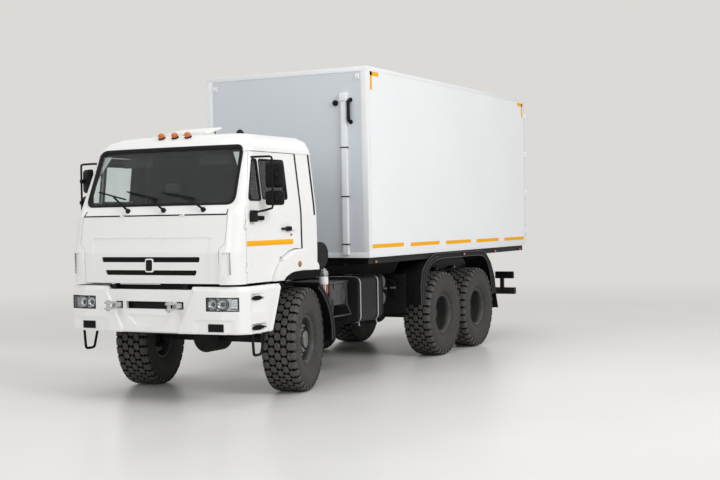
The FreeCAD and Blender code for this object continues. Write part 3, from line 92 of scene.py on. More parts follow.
lens_data = bpy.data.cameras.new("photo_camera")
lens_data.sensor_width, lens_data.clip_end = SENSOR, 200
lens_data.lens = FOCAL_PIXELS * SENSOR / PHOTO_WIDTH
camera = link("photo_camera", lens_data)
camera.matrix_world = Matrix.Translation(EYE) @ Matrix((RIGHT, UP, BACK)).transposed().to_4x4()
bpy.context.scene.camera = camera
print("lens", round(lens_data.lens, 1), "mm")

# %% [markdown]
# ## Shader maths as Python
# A material often needs sums of masks. Instead of wiring Math nodes by hand, this class wraps one
# output socket and turns + and * into nodes, so that a recipe reads like the formula it is.

# %% Wrapped sockets
class Wire:
    """One output socket of a material; arithmetic on it adds Math nodes."""

    def __init__(self, finish, socket):
        self.finish, self.socket = finish, socket

    def _math(self, operation, other):
        return self.finish.node("ShaderNodeMath", {"operation": operation}, {0: self, 1: other})

    def __add__(self, other):
        return self._math("ADD", other)

    def __mul__(self, other):
        return self._math("MULTIPLY", other)

    __radd__, __rmul__ = __add__, __mul__


class Finish:
    """A material and the nodes behind its shader; constants go on the shader's own sockets."""

    def __init__(self, name, **constants):
        self.material = bpy.data.materials.new(name)
        self.material.use_nodes = True
        self.tree = self.material.node_tree
        self.shader = self.tree.nodes["Principled BSDF"]
        for key, value in constants.items():
            self.shader.inputs[key.replace("_", " ")].default_value = value

    def node(self, kind, settings=None, sockets=None, out=0):
        """Add one node: its settings first, then values or links for its sockets."""
        made = self.tree.nodes.new(kind)
        for key, value in (settings or {}).items():
            setattr(made, key, value)
        for key, value in (sockets or {}).items():
            if isinstance(value, Wire):
                self.tree.links.new(value.socket, made.inputs[key])
            else:
                made.inputs[key].default_value = value
        return Wire(self, made.outputs[out])

    def place(self, scale=(1, 1, 1)):
        """Points on the piece in metres, stretched by scale."""
        spot = self.node("ShaderNodeTexCoord", out="Object")
        return self.node("ShaderNodeVectorMath", {"operation": "MULTIPLY"}, {0: spot, 1: scale})

    def noise(self, scale, detail=3.0, stretch=(1, 1, 1)):
        return self.node("ShaderNodeTexNoise", None,
                         {"Vector": self.place(stretch), "Scale": scale, "Detail": detail})

    def ramp(self, wire, low, high):
        """Black up to low and white from high on."""
        made = self.node("ShaderNodeValToRGB", None, {"Fac": wire})
        stops = made.socket.node.color_ramp.elements
        stops[0].position, stops[1].position = low, high
        return made

    def blend(self, mask, first, second):
        """Mix two colours, each three numbers or a wire."""
        first, second = [c if isinstance(c, Wire) else tuple(c) + (1,) for c in (first, second)]
        return self.node("ShaderNodeMix", {"data_type": "RGBA"}, {0: mask, 6: first, 7: second}, 2)

    def feed(self, socket, wire):
        """Link a wire to one of the shader's sockets."""
        self.tree.links.new(wire.socket, self.shader.inputs[socket])
        return self

    def bump(self, height, distance, strength=1.0):
        made = self.node("ShaderNodeBump", None, {"Height": height, "Distance": distance, "Strength": strength})
        return self.feed("Normal", made)


print("shader maths ready")

# %% [markdown]
# ## Finishes
# The truck is new, so its finishes are clean, but none is a single flat colour. Paint carries a very
# fine orange peel and a breath of dust low down, plastic has grain, rubber has a brownish bloom.
# Each recipe below is a function, because several finishes share it with other numbers.

# %% Painted panels
def shade(colour, share, more=0.0):
    """The same colour, darker or paler."""
    return [c * share + more for c in colour]


def paint(name, colour, rough, peel=0.0004, coat=0.3, dust=0.10, shine=0.5):
    """Sprayed paint: a slow drift of tone, orange peel under the coat, and dust near the ground."""
    f = Finish(name, Coat_Weight=coat, Coat_Roughness=0.08, Specular_IOR_Level=shine)
    drift = f.ramp(f.noise(0.7, 2.0), 0.35, 0.65)
    height = f.node("ShaderNodeSeparateXYZ", None, {0: f.place()}, out="Z")
    low_down = f.node("ShaderNodeMapRange", None, {"Value": height, "From Min": 1.25, "From Max": 0.35})
    speck = f.ramp(f.noise(9.0, 5.0), 0.42, 0.75)
    dusty = low_down * (0.35 + 0.65 * speck) * dust
    tone = f.blend(drift, shade(colour, 0.975), colour)
    f.feed("Base Color", f.blend(dusty, tone, (0.36, 0.33, 0.29)))
    f.feed("Roughness", rough + 0.05 * drift + 0.4 * dusty)
    f.bump(f.noise(260.0, 2.0), peel)
    return f.material


def moulded(name, colour, rough=0.55, grain=900.0, depth=0.0004):
    """Moulded plastic: a leather-like grain and a slightly paler bloom where hands don't polish it."""
    f = Finish(name, Specular_IOR_Level=0.15)
    bloom = f.ramp(f.noise(6.0, 4.0), 0.35, 0.7)
    f.feed("Base Color", f.blend(bloom, colour, shade(colour, 1.3, 0.002)))
    f.feed("Roughness", rough + 0.12 * bloom)
    f.bump(f.node("ShaderNodeTexVoronoi", None, {"Vector": f.place(), "Scale": grain}), depth, 0.5)
    return f.material


cab_white = paint("cab_white", (0.83, 0.825, 0.81), 0.26)
panel_grey_white = paint("panel_grey_white", (0.84, 0.85, 0.86), 0.34, peel=0.0003, coat=0.15)
# darker and bluer than the box's sides: painted shade for the front wall, which the key light from the driver's side
# only glances
front_wall_grey = paint("front_wall_grey", (0.61, 0.645, 0.68), 0.36, coat=0.1)
trim_white = paint("trim_white", (0.80, 0.81, 0.82), 0.38, coat=0.1)
chassis_black = paint("chassis_black", (0.009, 0.009, 0.010), 0.52, coat=0.0, dust=0.09, shine=0.2)
wheel_grey = paint("wheel_grey", (0.043, 0.044, 0.046), 0.33, coat=0.15, dust=0.12, shine=0.4)
# dark glossy paint of the hubs, also used as painted shade inside the wheels' barrels and round the hubs
wheel_dark = paint("wheel_dark", (0.014, 0.014, 0.014), 0.30, coat=0.7, dust=0.05, shine=0.9)
fork_grey = paint("fork_grey", (0.44, 0.44, 0.43), 0.42, coat=0.1)
black_plastic = moulded("black_plastic", (0.006, 0.006, 0.007))
# near-black lining of the cab's inside: painted shade for the dim cab seen through the glass
lining_grey = moulded("lining_grey", (0.010, 0.013, 0.014), 0.85, 500.0, 0.0)
dash_plastic = moulded("dash_plastic", (0.022, 0.023, 0.025), 0.6, 700.0)
print("paint and plastic ready")

# %% [markdown]
# Rubber, glass, metal and lamp lenses need their own recipes. The tyre's rubber is grey-brown
# because of mould release and floor dust; the glass is tinted and thin, so it stays a simple
# transmissive shader with the tint in its base colour instead of a volume.

# %% Rubber, glass, metal, lenses
def tyre_rubber(name, dark, pale):
    """Rubber with a brownish bloom and fine floor dust."""
    f = Finish(name, Specular_IOR_Level=0.35)
    bloom = f.ramp(f.noise(5.0, 5.0), 0.35, 0.68)
    dust = f.ramp(f.noise(38.0, 6.0), 0.45, 0.8)
    black = f.blend(bloom, dark, pale)
    f.feed("Base Color", f.blend(dust * 0.4, black, shade(pale, 2.4)))
    f.feed("Roughness", 0.62 + 0.2 * bloom)
    f.bump(f.noise(420.0, 3.0), 0.0006)
    return f.material


def glass(name, tint, clear, rough=0.03):
    """Thin safety glass: mostly clear, with its tint in the base colour."""
    f = Finish(name, Transmission_Weight=clear, IOR=1.3, Specular_IOR_Level=0.4)
    haze = f.ramp(f.noise(3.0, 3.0), 0.3, 0.8)
    f.feed("Base Color", f.blend(haze, tint, shade(tint, 0.9)))
    f.feed("Roughness", rough + 0.02 * haze)
    return f.material


def metal(name, colour, rough, brushed=(1, 1, 30)):
    """Bare metal with fine lines along the brushed direction."""
    f = Finish(name, Metallic=1.0)
    lines = f.noise(60.0, 4.0, brushed)
    f.feed("Base Color", f.blend(f.ramp(lines, 0.3, 0.7), shade(colour, 0.85), colour))
    f.feed("Roughness", rough + 0.12 * lines)
    f.bump(lines, 0.0002, 0.4)
    return f.material


def lens(name, colour):
    """A moulded lamp lens with fine prism ribs."""
    f = Finish(name, Transmission_Weight=0.25, Coat_Weight=0.6)
    ribs = f.node("ShaderNodeTexWave", {"bands_direction": "Y"}, {"Vector": f.place(), "Scale": 60.0})
    f.feed("Base Color", f.blend(ribs, colour, shade(colour, 0.7)))
    f.feed("Roughness", 0.12 + 0.1 * ribs)
    f.bump(ribs, 0.0006, 0.5)
    return f.material


rubber = tyre_rubber("tyre_rubber", (0.032, 0.031, 0.029), (0.052, 0.049, 0.045))
tread_rubber = tyre_rubber("tread_rubber", (0.055, 0.053, 0.050), (0.078, 0.075, 0.070))
# near-black painted shade: the shadow in the tyres' grooves, and inside the front wheel arches
groove_rubber = moulded("groove_rubber", (0.004, 0.004, 0.004), 0.95)
seal_rubber = moulded("seal_rubber", (0.008, 0.008, 0.009), 0.48, 500.0, 0.0002)
cab_glass = glass("cab_glass", (0.88, 0.935, 0.935), 0.985)
clear_lens = glass("clear_lens", (0.9, 0.92, 0.93), 0.95, 0.02)
mirror_glass = metal("mirror_glass", (0.72, 0.75, 0.78), 0.03, (1, 1, 1))
bright_steel = metal("bright_steel", (0.62, 0.62, 0.61), 0.28)
galvanised = metal("galvanised", (0.50, 0.52, 0.54), 0.42, (4, 4, 4))
reflector = metal("reflector", (0.70, 0.71, 0.73), 0.08, (1, 1, 1))
orange_lens = lens("orange_lens", (0.80, 0.19, 0.015))
red_lens = lens("red_lens", (0.55, 0.02, 0.015))
marking_tape = paint("marking_tape", (0.90, 0.42, 0.004), 0.62, coat=0.0, dust=0.0, shine=0.15)
plywood = moulded("floor_ply", (0.10, 0.062, 0.035), 0.5, 120.0, 0.0008)
print("materials", len(bpy.data.materials))

# %% [markdown]
# ## Finishes on the CAD nodes
# A CAD node whose shape is right stays and only changes its material. This table says which finish
# each one gets; nodes that a detailed piece replaces later get theirs with that piece.

# %% Finish each node
NODE_FINISH = {
    cab_white: "cab_back_wall cab_sides cab_front cab_roof front_panel door_left door_right roof_hatch bumper",
    panel_grey_white: "box_side_walls box_roof box_door_left box_door_right box_portal",
    front_wall_grey: "box_front_wall",
    chassis_black: "cab_floor frame box_subframe front_axle rear_axles springs prop_shafts powertrain "
                   "knuckle_left knuckle_right fuel_tank battery_box air_tanks air_cleaner exhaust rear_bumper "
                   "tow_coupling",
    black_plastic: "mudguards bumper_fittings mirrors_left mirrors_right wipers grille",
    cab_glass: "windscreen door_glass_left door_glass_right",
    dash_plastic: "dashboard seats",
    fork_grey: "tow_forks", clear_lens: "lamps", orange_lens: "roof_lamps", plywood: "box_floor",
}
finish_of = {name: finish for finish, names in NODE_FINISH.items() for name in names.split()}
for name, node in frame["nodes"].items():
    running = rubber if name.startswith("tyre") else wheel_grey
    node.data.materials.clear()
    node.data.materials.append(finish_of.get(name, running))
print("finished", len(finish_of), "nodes and", len(frame["nodes"]) - len(finish_of), "on the wheels")

# %% [markdown]
# ## Places and frames
# Every number of this truck was measured from its front axle, along the frame's three directions.
# A few short functions turn such numbers into vectors and matrices: a matrix places a whole form at
# once, which is simpler to follow than moving its points one by one.

# %% Places and frames
def at(x, y, z):
    """A place given from the front axle, in the truck's frame."""
    return Vector((x + AXLE, y, z))


def turned(axis, degrees, spot=(0, 0, 0)):
    """A frame at a spot, turned about one axis."""
    return Matrix.Translation(spot) @ Matrix.Rotation(math.radians(degrees), 4, axis)


HUB = Matrix.Translation((AXLE, 0, 0))
QUARTER = turned("X", 90)
REARWARD = (-1, 0, 0)
UPRIGHT = Matrix(((1, 0, 0), (0, 0, 1), (0, 1, 0))).to_4x4()
SIDES = [(hand, side, Matrix.Scale(side, 4, (0, 1, 0))) for hand, side in (("left", 1), ("right", -1))]


def facing(spot, out, upward=(0, 0, 1)):
    """A frame whose local Z looks out of a surface, with local Y as near upward as it can be."""
    z = Vector(out).normalized()
    x = Vector(upward).cross(z).normalized()
    return Matrix.Translation(spot) @ Matrix((x, z.cross(x), z)).transposed().to_4x4()


def outward(spot, out, upward=(0, 0, 1)):
    """The frame of a turned form that stands out of a surface."""
    return facing(spot, out, upward) @ QUARTER


def around(count, start=0.0):
    """Angles that share out a full turn."""
    return [start + 2 * math.pi * k / count for k in range(count)]


def arc(count, low, high):
    """Angles from one to the other, both given in degrees and included."""
    return [math.radians(low + (high - low) * k / (count - 1)) for k in range(count)]


print("check corner:", [round(v, 3) for v in at(0, 1.0, 0.6)])

# %% [markdown]
# Many parts of a truck are cut from sheet or pressed with rounded corners. An outline is a list of
# flat points; each corner becomes a short curve, because a sharp one would catch no light.

# %% Outlines
def rounded(corners, radius, steps=5):
    """An outline with its corners rounded; a corner may carry its own radius as a third number."""
    outline = []
    count = len(corners)
    for i in range(count):
        here, before, after = Vector(corners[i][:2]), Vector(corners[i - 1][:2]), Vector(corners[(i + 1) % count][:2])
        r = corners[i][2] if len(corners[i]) > 2 else radius
        into, onward = (before - here).normalized(), (after - here).normalized()
        half = into.angle(onward) / 2
        if r <= 0 or half > 1.55:
            outline.append(tuple(here))
            continue
        reach = min(r / math.tan(half), 0.49 * (before - here).length, 0.49 * (after - here).length)
        start, end = here + into * reach, here + onward * reach
        for k in range(steps + 1):
            t = k / steps
            outline.append(tuple(start * (1 - t) ** 2 + here * 2 * t * (1 - t) + end * t ** 2))
    return outline


def oblong(low, high, corner=0.0, steps=5):
    """The outline of a rectangle between two corners, rounded."""
    (a, b), (c, d) = low, high
    return rounded([(a, b), (c, b), (c, d), (a, d)], corner, steps)


def dense(outline, step, closed=True):
    """The same points with more between them, no further apart than step."""
    points = []
    for here, after in zip(outline, outline[1:] + outline[:1] * closed):
        here, after = Vector(here), Vector(after)
        parts = max(1, math.ceil((after - here).length / step))
        points += [here.lerp(after, k / parts) for k in range(parts)]
    return points if closed else points + [Vector(outline[-1])]


print("points round a softened square:", len(oblong((0, 0), (1, 1), 0.1)))

# %% [markdown]
# ## Forms
# Every piece below is one mesh that is gathered from a few kinds of form: rounded blocks, turned
# forms, bars that follow points, and flat outlines with a thickness. A small class on top of bmesh
# keeps the recipes short, and the same class hands the finished mesh to its body in the frame.

# %% Forms
class Form:
    """The geometry of one piece, in metres."""

    def __init__(self):
        self.bm = bmesh.new()

    def _put(self, verts, matrix):
        """Move what was just made to its place."""
        if matrix is not None:
            bmesh.ops.transform(self.bm, matrix=matrix, verts=verts)
        return self

    def slab(self, low, high, soft=0.004, matrix=None, steps=2):
        """A block between two corners, with softened edges."""
        low, high = Vector(low), Vector(high)
        verts = bmesh.ops.create_cube(self.bm, size=1.0)["verts"]
        for v in verts:
            v.co = Vector([a + (b - a) * (c + 0.5) for a, b, c in zip(low, high, v.co)])
        edges = list({e for v in verts for e in v.link_edges})
        made = bmesh.ops.bevel(self.bm, geom=edges, offset=soft, segments=steps, affect="EDGES", profile=0.6)
        return self._put(made["verts"], matrix)

    def block(self, x, y, z, far_x, far_y, far_z, soft=0.004, matrix=None, steps=2):
        """A slab whose corners are given from the front axle."""
        return self.slab(at(x, y, z), at(far_x, far_y, far_z), soft, matrix, steps)

    def blocks(self, soft, matrix, *boxes):
        """Several blocks with the same softened edges."""
        for box in boxes:
            self.block(*box, soft, matrix)
        return self

    def hose(self, radius, sides, *spots, matrix=None):
        """A round bar through places that are given from the front axle."""
        return self.bar([at(*spot) for spot in spots], radius, sides, matrix=matrix)

    def lathe(self, profile, steps=48, matrix=None):
        """A form turned round the local Y axis from (radius, along) points."""
        rings = []
        for radius, along in profile:
            angles = around(steps)[:steps if radius > 1e-6 else 1]
            rings.append([self.bm.verts.new((radius * math.sin(a), along, radius * math.cos(a))) for a in angles])
        for near, far in zip(rings, rings[1:]):
            for i in range(steps):
                j = (i + 1) % steps
                corners = [near[i % len(near)], near[j % len(near)], far[j % len(far)], far[i % len(far)]]
                corners = [c for k, c in enumerate(corners) if c is not corners[k - 1]]
                self.bm.faces.new(corners)
        return self._put([v for ring in rings for v in ring], matrix)

    def sweep(self, path, section, normals=None, closed=False, matrix=None):
        """A section of (across, out) points carried along a path; out follows the normals."""
        path = [Vector(p) for p in path]
        count, rings, last = len(path), [], None
        for i, spot in enumerate(path):
            ahead_spot = path[(i + 1) % count] if closed or i + 1 < count else spot
            behind = path[i - 1] if closed or i else spot
            along = (ahead_spot - behind).normalized()
            out = Vector(normals[i]) if normals else last or Vector((0, 0, 1) if abs(along.z) < 0.9 else (1, 0, 0))
            out = last = (out - along * out.dot(along)).normalized()
            across, stretch = along.cross(out), 1.0
            if not normals and behind is not spot and ahead_spot is not spot:
                bend = (spot - behind).normalized().dot((ahead_spot - spot).normalized())
                stretch = min(1.0 / math.sqrt(max((1 + bend) / 2, 0.3)), 1.4)
            rings.append([self.bm.verts.new(spot + across * a * stretch + out * b) for a, b in section])
        self.skirt(rings, closed)
        if not closed:
            self.bm.faces.new(rings[0])
            self.bm.faces.new(rings[-1])
        return self._put([v for ring in rings for v in ring], matrix)

    def skirt(self, rings, closed=False):
        """Faces between each ring of points and the next."""
        for near, far in zip(rings, rings[1:] + rings[:1] * closed):
            for i, (a, b) in enumerate(zip(near, far)):
                j = (i + 1) % len(near)
                self.bm.faces.new((a, near[j], far[j], b))

    def bar(self, path, radius, sides=10, closed=False, matrix=None):
        """A round bar, rod or hose along a path."""
        circle = [(radius * math.cos(a), radius * math.sin(a)) for a in around(sides)]
        return self.sweep(path, circle, None, closed, matrix)

    def plate(self, outline, low, high, matrix=None, soft=0.0):
        """A flat outline of local X and Y points, from one height along local Z to another."""
        base = [self.bm.verts.new((x, y, low)) for x, y in outline]
        top = [self.bm.verts.new((x, y, high)) for x, y in outline]
        count = len(outline)
        faces = [self.bm.faces.new(base), self.bm.faces.new(top)]
        for i in range(count):
            faces.append(self.bm.faces.new((base[i], base[(i + 1) % count], top[(i + 1) % count], top[i])))
        verts = base + top
        if soft:
            made = bmesh.ops.bevel(self.bm, geom=list(faces[1].edges), offset=soft, segments=2, affect="EDGES",
                                   profile=0.6)["verts"]
            verts = list(set(made) | {v for v in base if v.is_valid})
        return self._put(verts, matrix)

    def mesh(self, name):
        """The finished mesh data, with every face looking outward."""
        bmesh.ops.recalc_face_normals(self.bm, faces=self.bm.faces)
        mesh = bpy.data.meshes.new(name)
        self.bm.to_mesh(mesh)
        self.bm.free()
        return mesh

    def done(self, name, finish, body="chassis", sharp=35.0, replaces="", slot=None):
        """Make the object, give it its finish and let it ride on a body."""
        return dress(name, self.mesh(name), finish, body, sharp, replaces, slot)


print("kinds of form:", [kind for kind in vars(Form) if not kind.startswith("_")])

# %% [markdown]
# A finished mesh becomes a piece of the truck here. It rides on the body that moves it, and stands for a
# plain CAD node if it draws the same thing.

# %% Pieces
SLOTS = {black_plastic: "black_plastic", groove_rubber: "black_plastic", dash_plastic: "black_plastic",
         cab_white: "cab_paint", trim_white: "box_panel", orange_lens: "lamp_orange", clear_lens: "lamp_lens",
         reflector: "lamp_lens", chassis_black: "chassis_black", fork_grey: "fork_steel", mirror_glass: "glass",
         rubber: "tyre"}


def dress(name, mesh, finish, body, sharp=35.0, replaces="", slot=None):
    """Link a mesh as one piece of the truck; the slot that its finish tells, or the one given, is looked up but not
    kept.
    """
    mesh.shade_smooth()
    mesh.set_sharp_from_angle(angle=math.radians(sharp))
    if not mesh.materials:
        mesh.materials.append(finish)
    piece = link(name, mesh)
    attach(piece, body)
    if replaces:
        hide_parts(replaces)
    slot = SLOTS.get(finish) if slot is None else slot
    return piece


print("finishes with a slot:", len(SLOTS))

# %% [markdown]
# Trim lies on a bowed cab, and its height there is hard to guess. A skin gathers the outside of some
# CAD nodes in a search tree, and a ray finds where a flat point lands on it and how it leans.

# %% Skins
class Skin:
    """The outside of some CAD nodes, so that trim can lie on it."""

    def __init__(self, *names):
        spots, faces = [], []
        for name in names:
            mesh = frame["nodes"][name].data
            start = len(spots)
            spots += [v.co.copy() for v in mesh.vertices]
            faces += [[start + i for i in polygon.vertices] for polygon in mesh.polygons]
        self.tree = BVHTree.FromPolygons(spots, faces)

    def hit(self, start, way):
        """Where a ray meets the skin, and the way the skin faces there."""
        spot, normal = self.tree.ray_cast(Vector(start), Vector(way))[:2]
        if spot is None:
            return None, None
        return spot, normal if normal.dot(Vector(way)) < 0 else -normal

    def lay(self, points, way, proud=0.0, reach=3.0):
        """Drop flat points along a way onto the skin; points that miss it are left out."""
        way = Vector(way)
        spots, normals = [], []
        for point in points:
            spot, normal = self.hit(Vector(point) - way * reach, way)
            if spot is not None:
                spots.append(spot + normal * proud)
                normals.append(normal)
        return spots, normals


print("faces of the cab's front:", len(frame["nodes"]["cab_front"].data.polygons))

# %% [markdown]
# ## Tyres
# An off-road tyre has a plain, slightly bulged sidewall and a tread of separate blocks. Here the blocks
# stand in five staggered rows: three of small six-sided blocks, and a larger one at each shoulder that
# wraps down over the edge. One ring of blocks is simple to compute, so we write every vertex with its
# angle and radius; a boolean or a displacement would blur the small gaps. All six tyres share one mesh.

# %% Tyre mesh
TYRE_RADIUS, BLOCKS, LOCK = 0.617, 33, 12.6
ROOT, PITCH = TYRE_RADIUS - 0.021, 2 * math.pi / BLOCKS
SIDEWALL = [(0.268, 0.150), (0.290, 0.153), (0.300, 0.170), (0.310, 0.176), (0.345, 0.190), (0.405, 0.207),
            (0.455, 0.2115), (0.500, 0.2105), (0.530, 0.207), (0.548, 0.2065), (0.551, 0.2035), (0.572, 0.199),
            (0.588, 0.186), (ROOT - 0.002, 0.150), (ROOT, 0.08)]
SHOULDER = [(-0.36, 0.172, 0.6115), (0.36, 0.172, 0.6115), (0.40, 0.196, 0.604), (0.32, 0.2065, 0.578),
            (0.22, 0.2085, 0.552), (-0.22, 0.2085, 0.552), (-0.32, 0.2065, 0.578), (-0.40, 0.196, 0.604)]


def tread_block(form, angle, across, half_turn, half_width, top, low, skew=0.0):
    """One tread block: a softened six-sided top on splayed sides."""
    rings = []
    for grow, level in ((1.06, low), (1.02, top - 0.004), (0.90, top)):
        ring = []
        for turn, side in ((-0.62, -1), (0.62, -1), (1, 0), (0.62, 1), (-0.62, 1), (-1, 0)):
            a = angle + half_turn * turn * grow + skew * side
            y = across + half_width * side * grow
            r = level - 1.9 * max(0.0, abs(y) - 0.15) ** 2
            ring.append(form.bm.verts.new((r * math.sin(a), y, r * math.cos(a))))
        rings.append(ring)
    # the lower sides of each block get the grooves' near-black painted shade, the upper rim and top the tread rubber
    for part, (near, far) in enumerate(zip(rings, rings[1:])):
        for i in range(6):
            j = (i + 1) % 6
            form.bm.faces.new((near[i], near[j], far[j], far[i])).material_index = 1 + part
    form.bm.faces.new(rings[-1]).material_index = 2


def shoulder_half(form, middle, side):
    """The half of a shoulder block that turns down the sidewall."""
    top, foot = [[form.bm.verts.new(((r - sunk) * math.sin(middle + PITCH * t * grow), side * (y - inset),
                                     (r - sunk) * math.cos(middle + PITCH * t * grow))) for t, y, r in SHOULDER]
                 for sunk, grow, inset in ((0, 1, 0), (0.022, 1.12, 0.010))]
    # the shoulder's sides wear the grooves' painted shade, its top the tread rubber
    for i in range(8):
        j = (i + 1) % 8
        form.bm.faces.new((top[i], top[j], foot[j], foot[i])).material_index = 1
    for corners in ((0, 1, 2, 7), (7, 2, 3, 6), (6, 3, 4, 5)):
        form.bm.faces.new([top[i] for i in corners]).material_index = 2


print("blocks in one ring:", BLOCKS)

# %% [markdown]
# A lathe gives the smooth carcass, and the blocks are written onto it ring by ring. Faces low between
# the blocks, and the blocks' lower sides, wear a near-black painted shade for the shadow that the grooves of a real
# tyre hold.

# %% Tyre
def tyre_mesh():
    """A smooth carcass with its five rows of blocks, in the wheel's own frame."""
    form = Form()
    form.lathe([(r, -y) for r, y in SIDEWALL] + [(ROOT + 0.001, 0)] + SIDEWALL[::-1], 88)
    # faces low between the blocks get the near-black painted shade of the grooves
    for face in form.bm.faces:
        middle = face.calc_center_median()
        face.material_index = int(math.hypot(middle.x, middle.z) > 0.565)
    for k in range(BLOCKS):
        for row, across in enumerate((-0.074, 0.0, 0.074)):
            tread_block(form, PITCH * (k + 0.5 * (row % 2)), across, PITCH * 0.43, 0.0345, TYRE_RADIUS,
                        ROOT - 0.004, 0.006)
        for side in (-1, 1):
            tread_block(form, PITCH * (k + 0.5), side * 0.145, PITCH * 0.42, 0.031, TYRE_RADIUS - 0.001, ROOT - 0.006)
            shoulder_half(form, PITCH * (k + 0.5), side)
    # two thin rings on each sidewall
    for side in (-1, 1):
        for radius, out in ((0.322, 0.1845), (0.520, 0.2095)):
            form.lathe([(radius + 0.004 * k, side * (out + (-0.002 if k else 0.0022))) for k in (-1, 0, 1)], 88)
    mesh = form.mesh("block_tyre")
    for finish in (rubber, groove_rubber, tread_rubber):
        mesh.materials.append(finish)
    return mesh


print("steered at rest by", LOCK, "degrees")

# %% [markdown]
# The photograph shows the front wheels steered to the left, so the CAD holds them at that lock when
# its joints are at rest. Their frames turn about the kingpin here too; the four rear wheels are straight.

# %% Tyres in their places
def wheel_place(spot, hand):
    """The wheel's own frame: local Y points outward; the front pair is steered to the left."""
    side, heading = (1 if hand == "left" else -1), (0 if hand == "left" else 180)
    if spot == "front":
        steer = math.radians(LOCK)
        middle = Vector((AXLE - side * 0.2 * math.sin(steer), side * (0.825 + 0.2 * math.cos(steer)), TYRE_RADIUS))
        return turned("Z", LOCK + heading, middle)
    box_low, box_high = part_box("wheel_%s_%s" % (spot, hand))
    return turned("Z", heading, ((box_low.x + box_high.x) / 2, side * 1.025, TYRE_RADIUS))


WHEELS = [(spot, hand) for spot in ("front", "middle", "rear") for hand in ("left", "right")]
tyre = tyre_mesh()
for spot, hand in WHEELS:
    mesh = tyre.copy()
    mesh.transform(wheel_place(spot, hand))
    dress("block_tyre_%s_%s" % (spot, hand), mesh, rubber, "road_wheel_%s_%s" % (spot, hand), 32.0,
          "tyre_%s_%s" % (spot, hand))
print("tyre triangles", sum(len(p.vertices) - 2 for p in tyre.polygons))

# %% [markdown]
# ## Wheels
# The front wheels have a shallow face with a big planetary hub standing out of it, held by a ring of
# nuts. The rear ones are dished: we look into a deep barrel with the same ring of nuts at its bottom.
# Both are turned forms, so one profile each gives the rim, and bolts are laid round it in a loop.

# %% Nuts
def hexagon(form, spot, radius, height, matrix, turn=0.0):
    """A nut or bolt head standing on a face whose outside looks along local Y."""
    x, y, z = spot
    rings = [[form.bm.verts.new(matrix @ Vector((x + r * math.cos(a), y + h, z + r * math.sin(a))))
              for a in around(6, turn)] for r, h in ((radius, 0), (radius, height * 0.85), (radius * 0.8, height))]
    form.skirt(rings)
    form.bm.faces.new(rings[-1])


def bolt_ring(form, matrix, count, circle, along, radius, height, stud=0.0):
    """Nuts laid round a circle, each with the end of its stud where that shows."""
    for a in around(count):
        spot = (circle * math.sin(a), along, circle * math.cos(a))
        hexagon(form, spot, radius, height, matrix, a)
        if stud:
            form.lathe([(radius * 0.45, 0), (radius * 0.45, stud), (radius * 0.3, stud + 0.004), (0, stud + 0.004)],
                       8, matrix @ Matrix.Translation(spot))


print("corners of a nut:", len(around(6)))

# %% [markdown]
# A wheel's profile is easiest to read as a line from the middle to the rim, so each kind keeps its
# lines in a table. Both kinds share the lip and the rim, because they carry the same tyre.

# %% Wheel profiles
# the face of each wheel with its lip, the rim and the back, the hub, the barrel's inner face that wears
# the painted shade, the valve's three points, and the rings of nuts (count, circle, along, radius, height, stud)
LIP = [(0.272, 0.158), (0.2805, 0.1615), (0.286, 0.1605), (0.2868, 0.157), (0.286, 0.1523), (0.266, 0.1523),
       (0.266, -0.1523)]
RIM = [(0.266, -0.1523), (0.286, -0.1523), (0.2868, -0.158), (0.284, -0.1615), (0.270, -0.1600), (0.258, -0.150)]
FRONT_WHEEL = dict(
    face=[(0.0, 0.066), (0.205, 0.066), (0.214, 0.0655), (0.236, 0.052), (0.244, 0.055), (0.248, 0.075),
          (0.2515, 0.110), (0.256, 0.140), (0.262, 0.152)] + LIP,
    rim=RIM + [(0.250, -0.120), (0.246, 0.020), (0.205, 0.040), (0.0, 0.040)],
    hub=[(0.160, 0.066), (0.160, 0.078), (0.156, 0.084), (0.138, 0.086), (0.134, 0.092), (0.131, 0.112),
         (0.122, 0.120), (0.110, 0.122), (0.106, 0.126), (0.104, 0.148), (0.098, 0.1565), (0.088, 0.158),
         (0.050, 0.157), (0.046, 0.1530), (0.0, 0.1530)],
    barrel=[(0.206, 0.0662), (0.206, 0.0668), (0.214, 0.0662), (0.236, 0.0528), (0.2435, 0.0557),
            (0.2473, 0.0757), (0.2508, 0.1105)],
    valve=((0.225, 0.06, 0.06), (0.232, 0.10, 0.062), (0.244, 0.13, 0.064)),
    nuts=((10, 0.184, 0.066, 0.0180, 0.024, 0.034), (12, 0.1465, 0.085, 0.0085, 0.008),
          (6, 0.072, 0.157, 0.008, 0.0008)))
REAR_WHEEL = dict(
    face=[(0.0, -0.054), (0.196, -0.054), (0.214, -0.0545), (0.232, -0.048), (0.240, -0.030), (0.245, 0.020),
          (0.249, 0.085), (0.2555, 0.132), (0.262, 0.150)] + LIP,
    rim=RIM + [(0.250, -0.130), (0.244, -0.080), (0.205, -0.066), (0.205, -0.100), (0.0, -0.100)],
    hub=[(0.142, -0.054), (0.142, -0.040), (0.136, -0.034), (0.118, -0.032), (0.112, -0.024), (0.110, 0.004),
         (0.104, 0.020), (0.094, 0.0275), (0.060, 0.0290), (0.054, 0.0255), (0.0, 0.0255)],
    barrel=[(0.145, -0.0535), (0.214, -0.0540), (0.2315, -0.0475), (0.2392, -0.0298), (0.2422, 0.0200),
            (0.2462, 0.0850), (0.2490, 0.1080)],
    valve=((0.225, -0.03, 0.06), (0.232, 0.02, 0.062), (0.244, 0.06, 0.064)),
    nuts=((10, 0.178, -0.054, 0.0180, 0.024, 0.034), (12, 0.1275, -0.033, 0.008, 0.007)))
print("rings of nuts:", len(FRONT_WHEEL["nuts"]), "in front,", len(REAR_WHEEL["nuts"]), "behind")
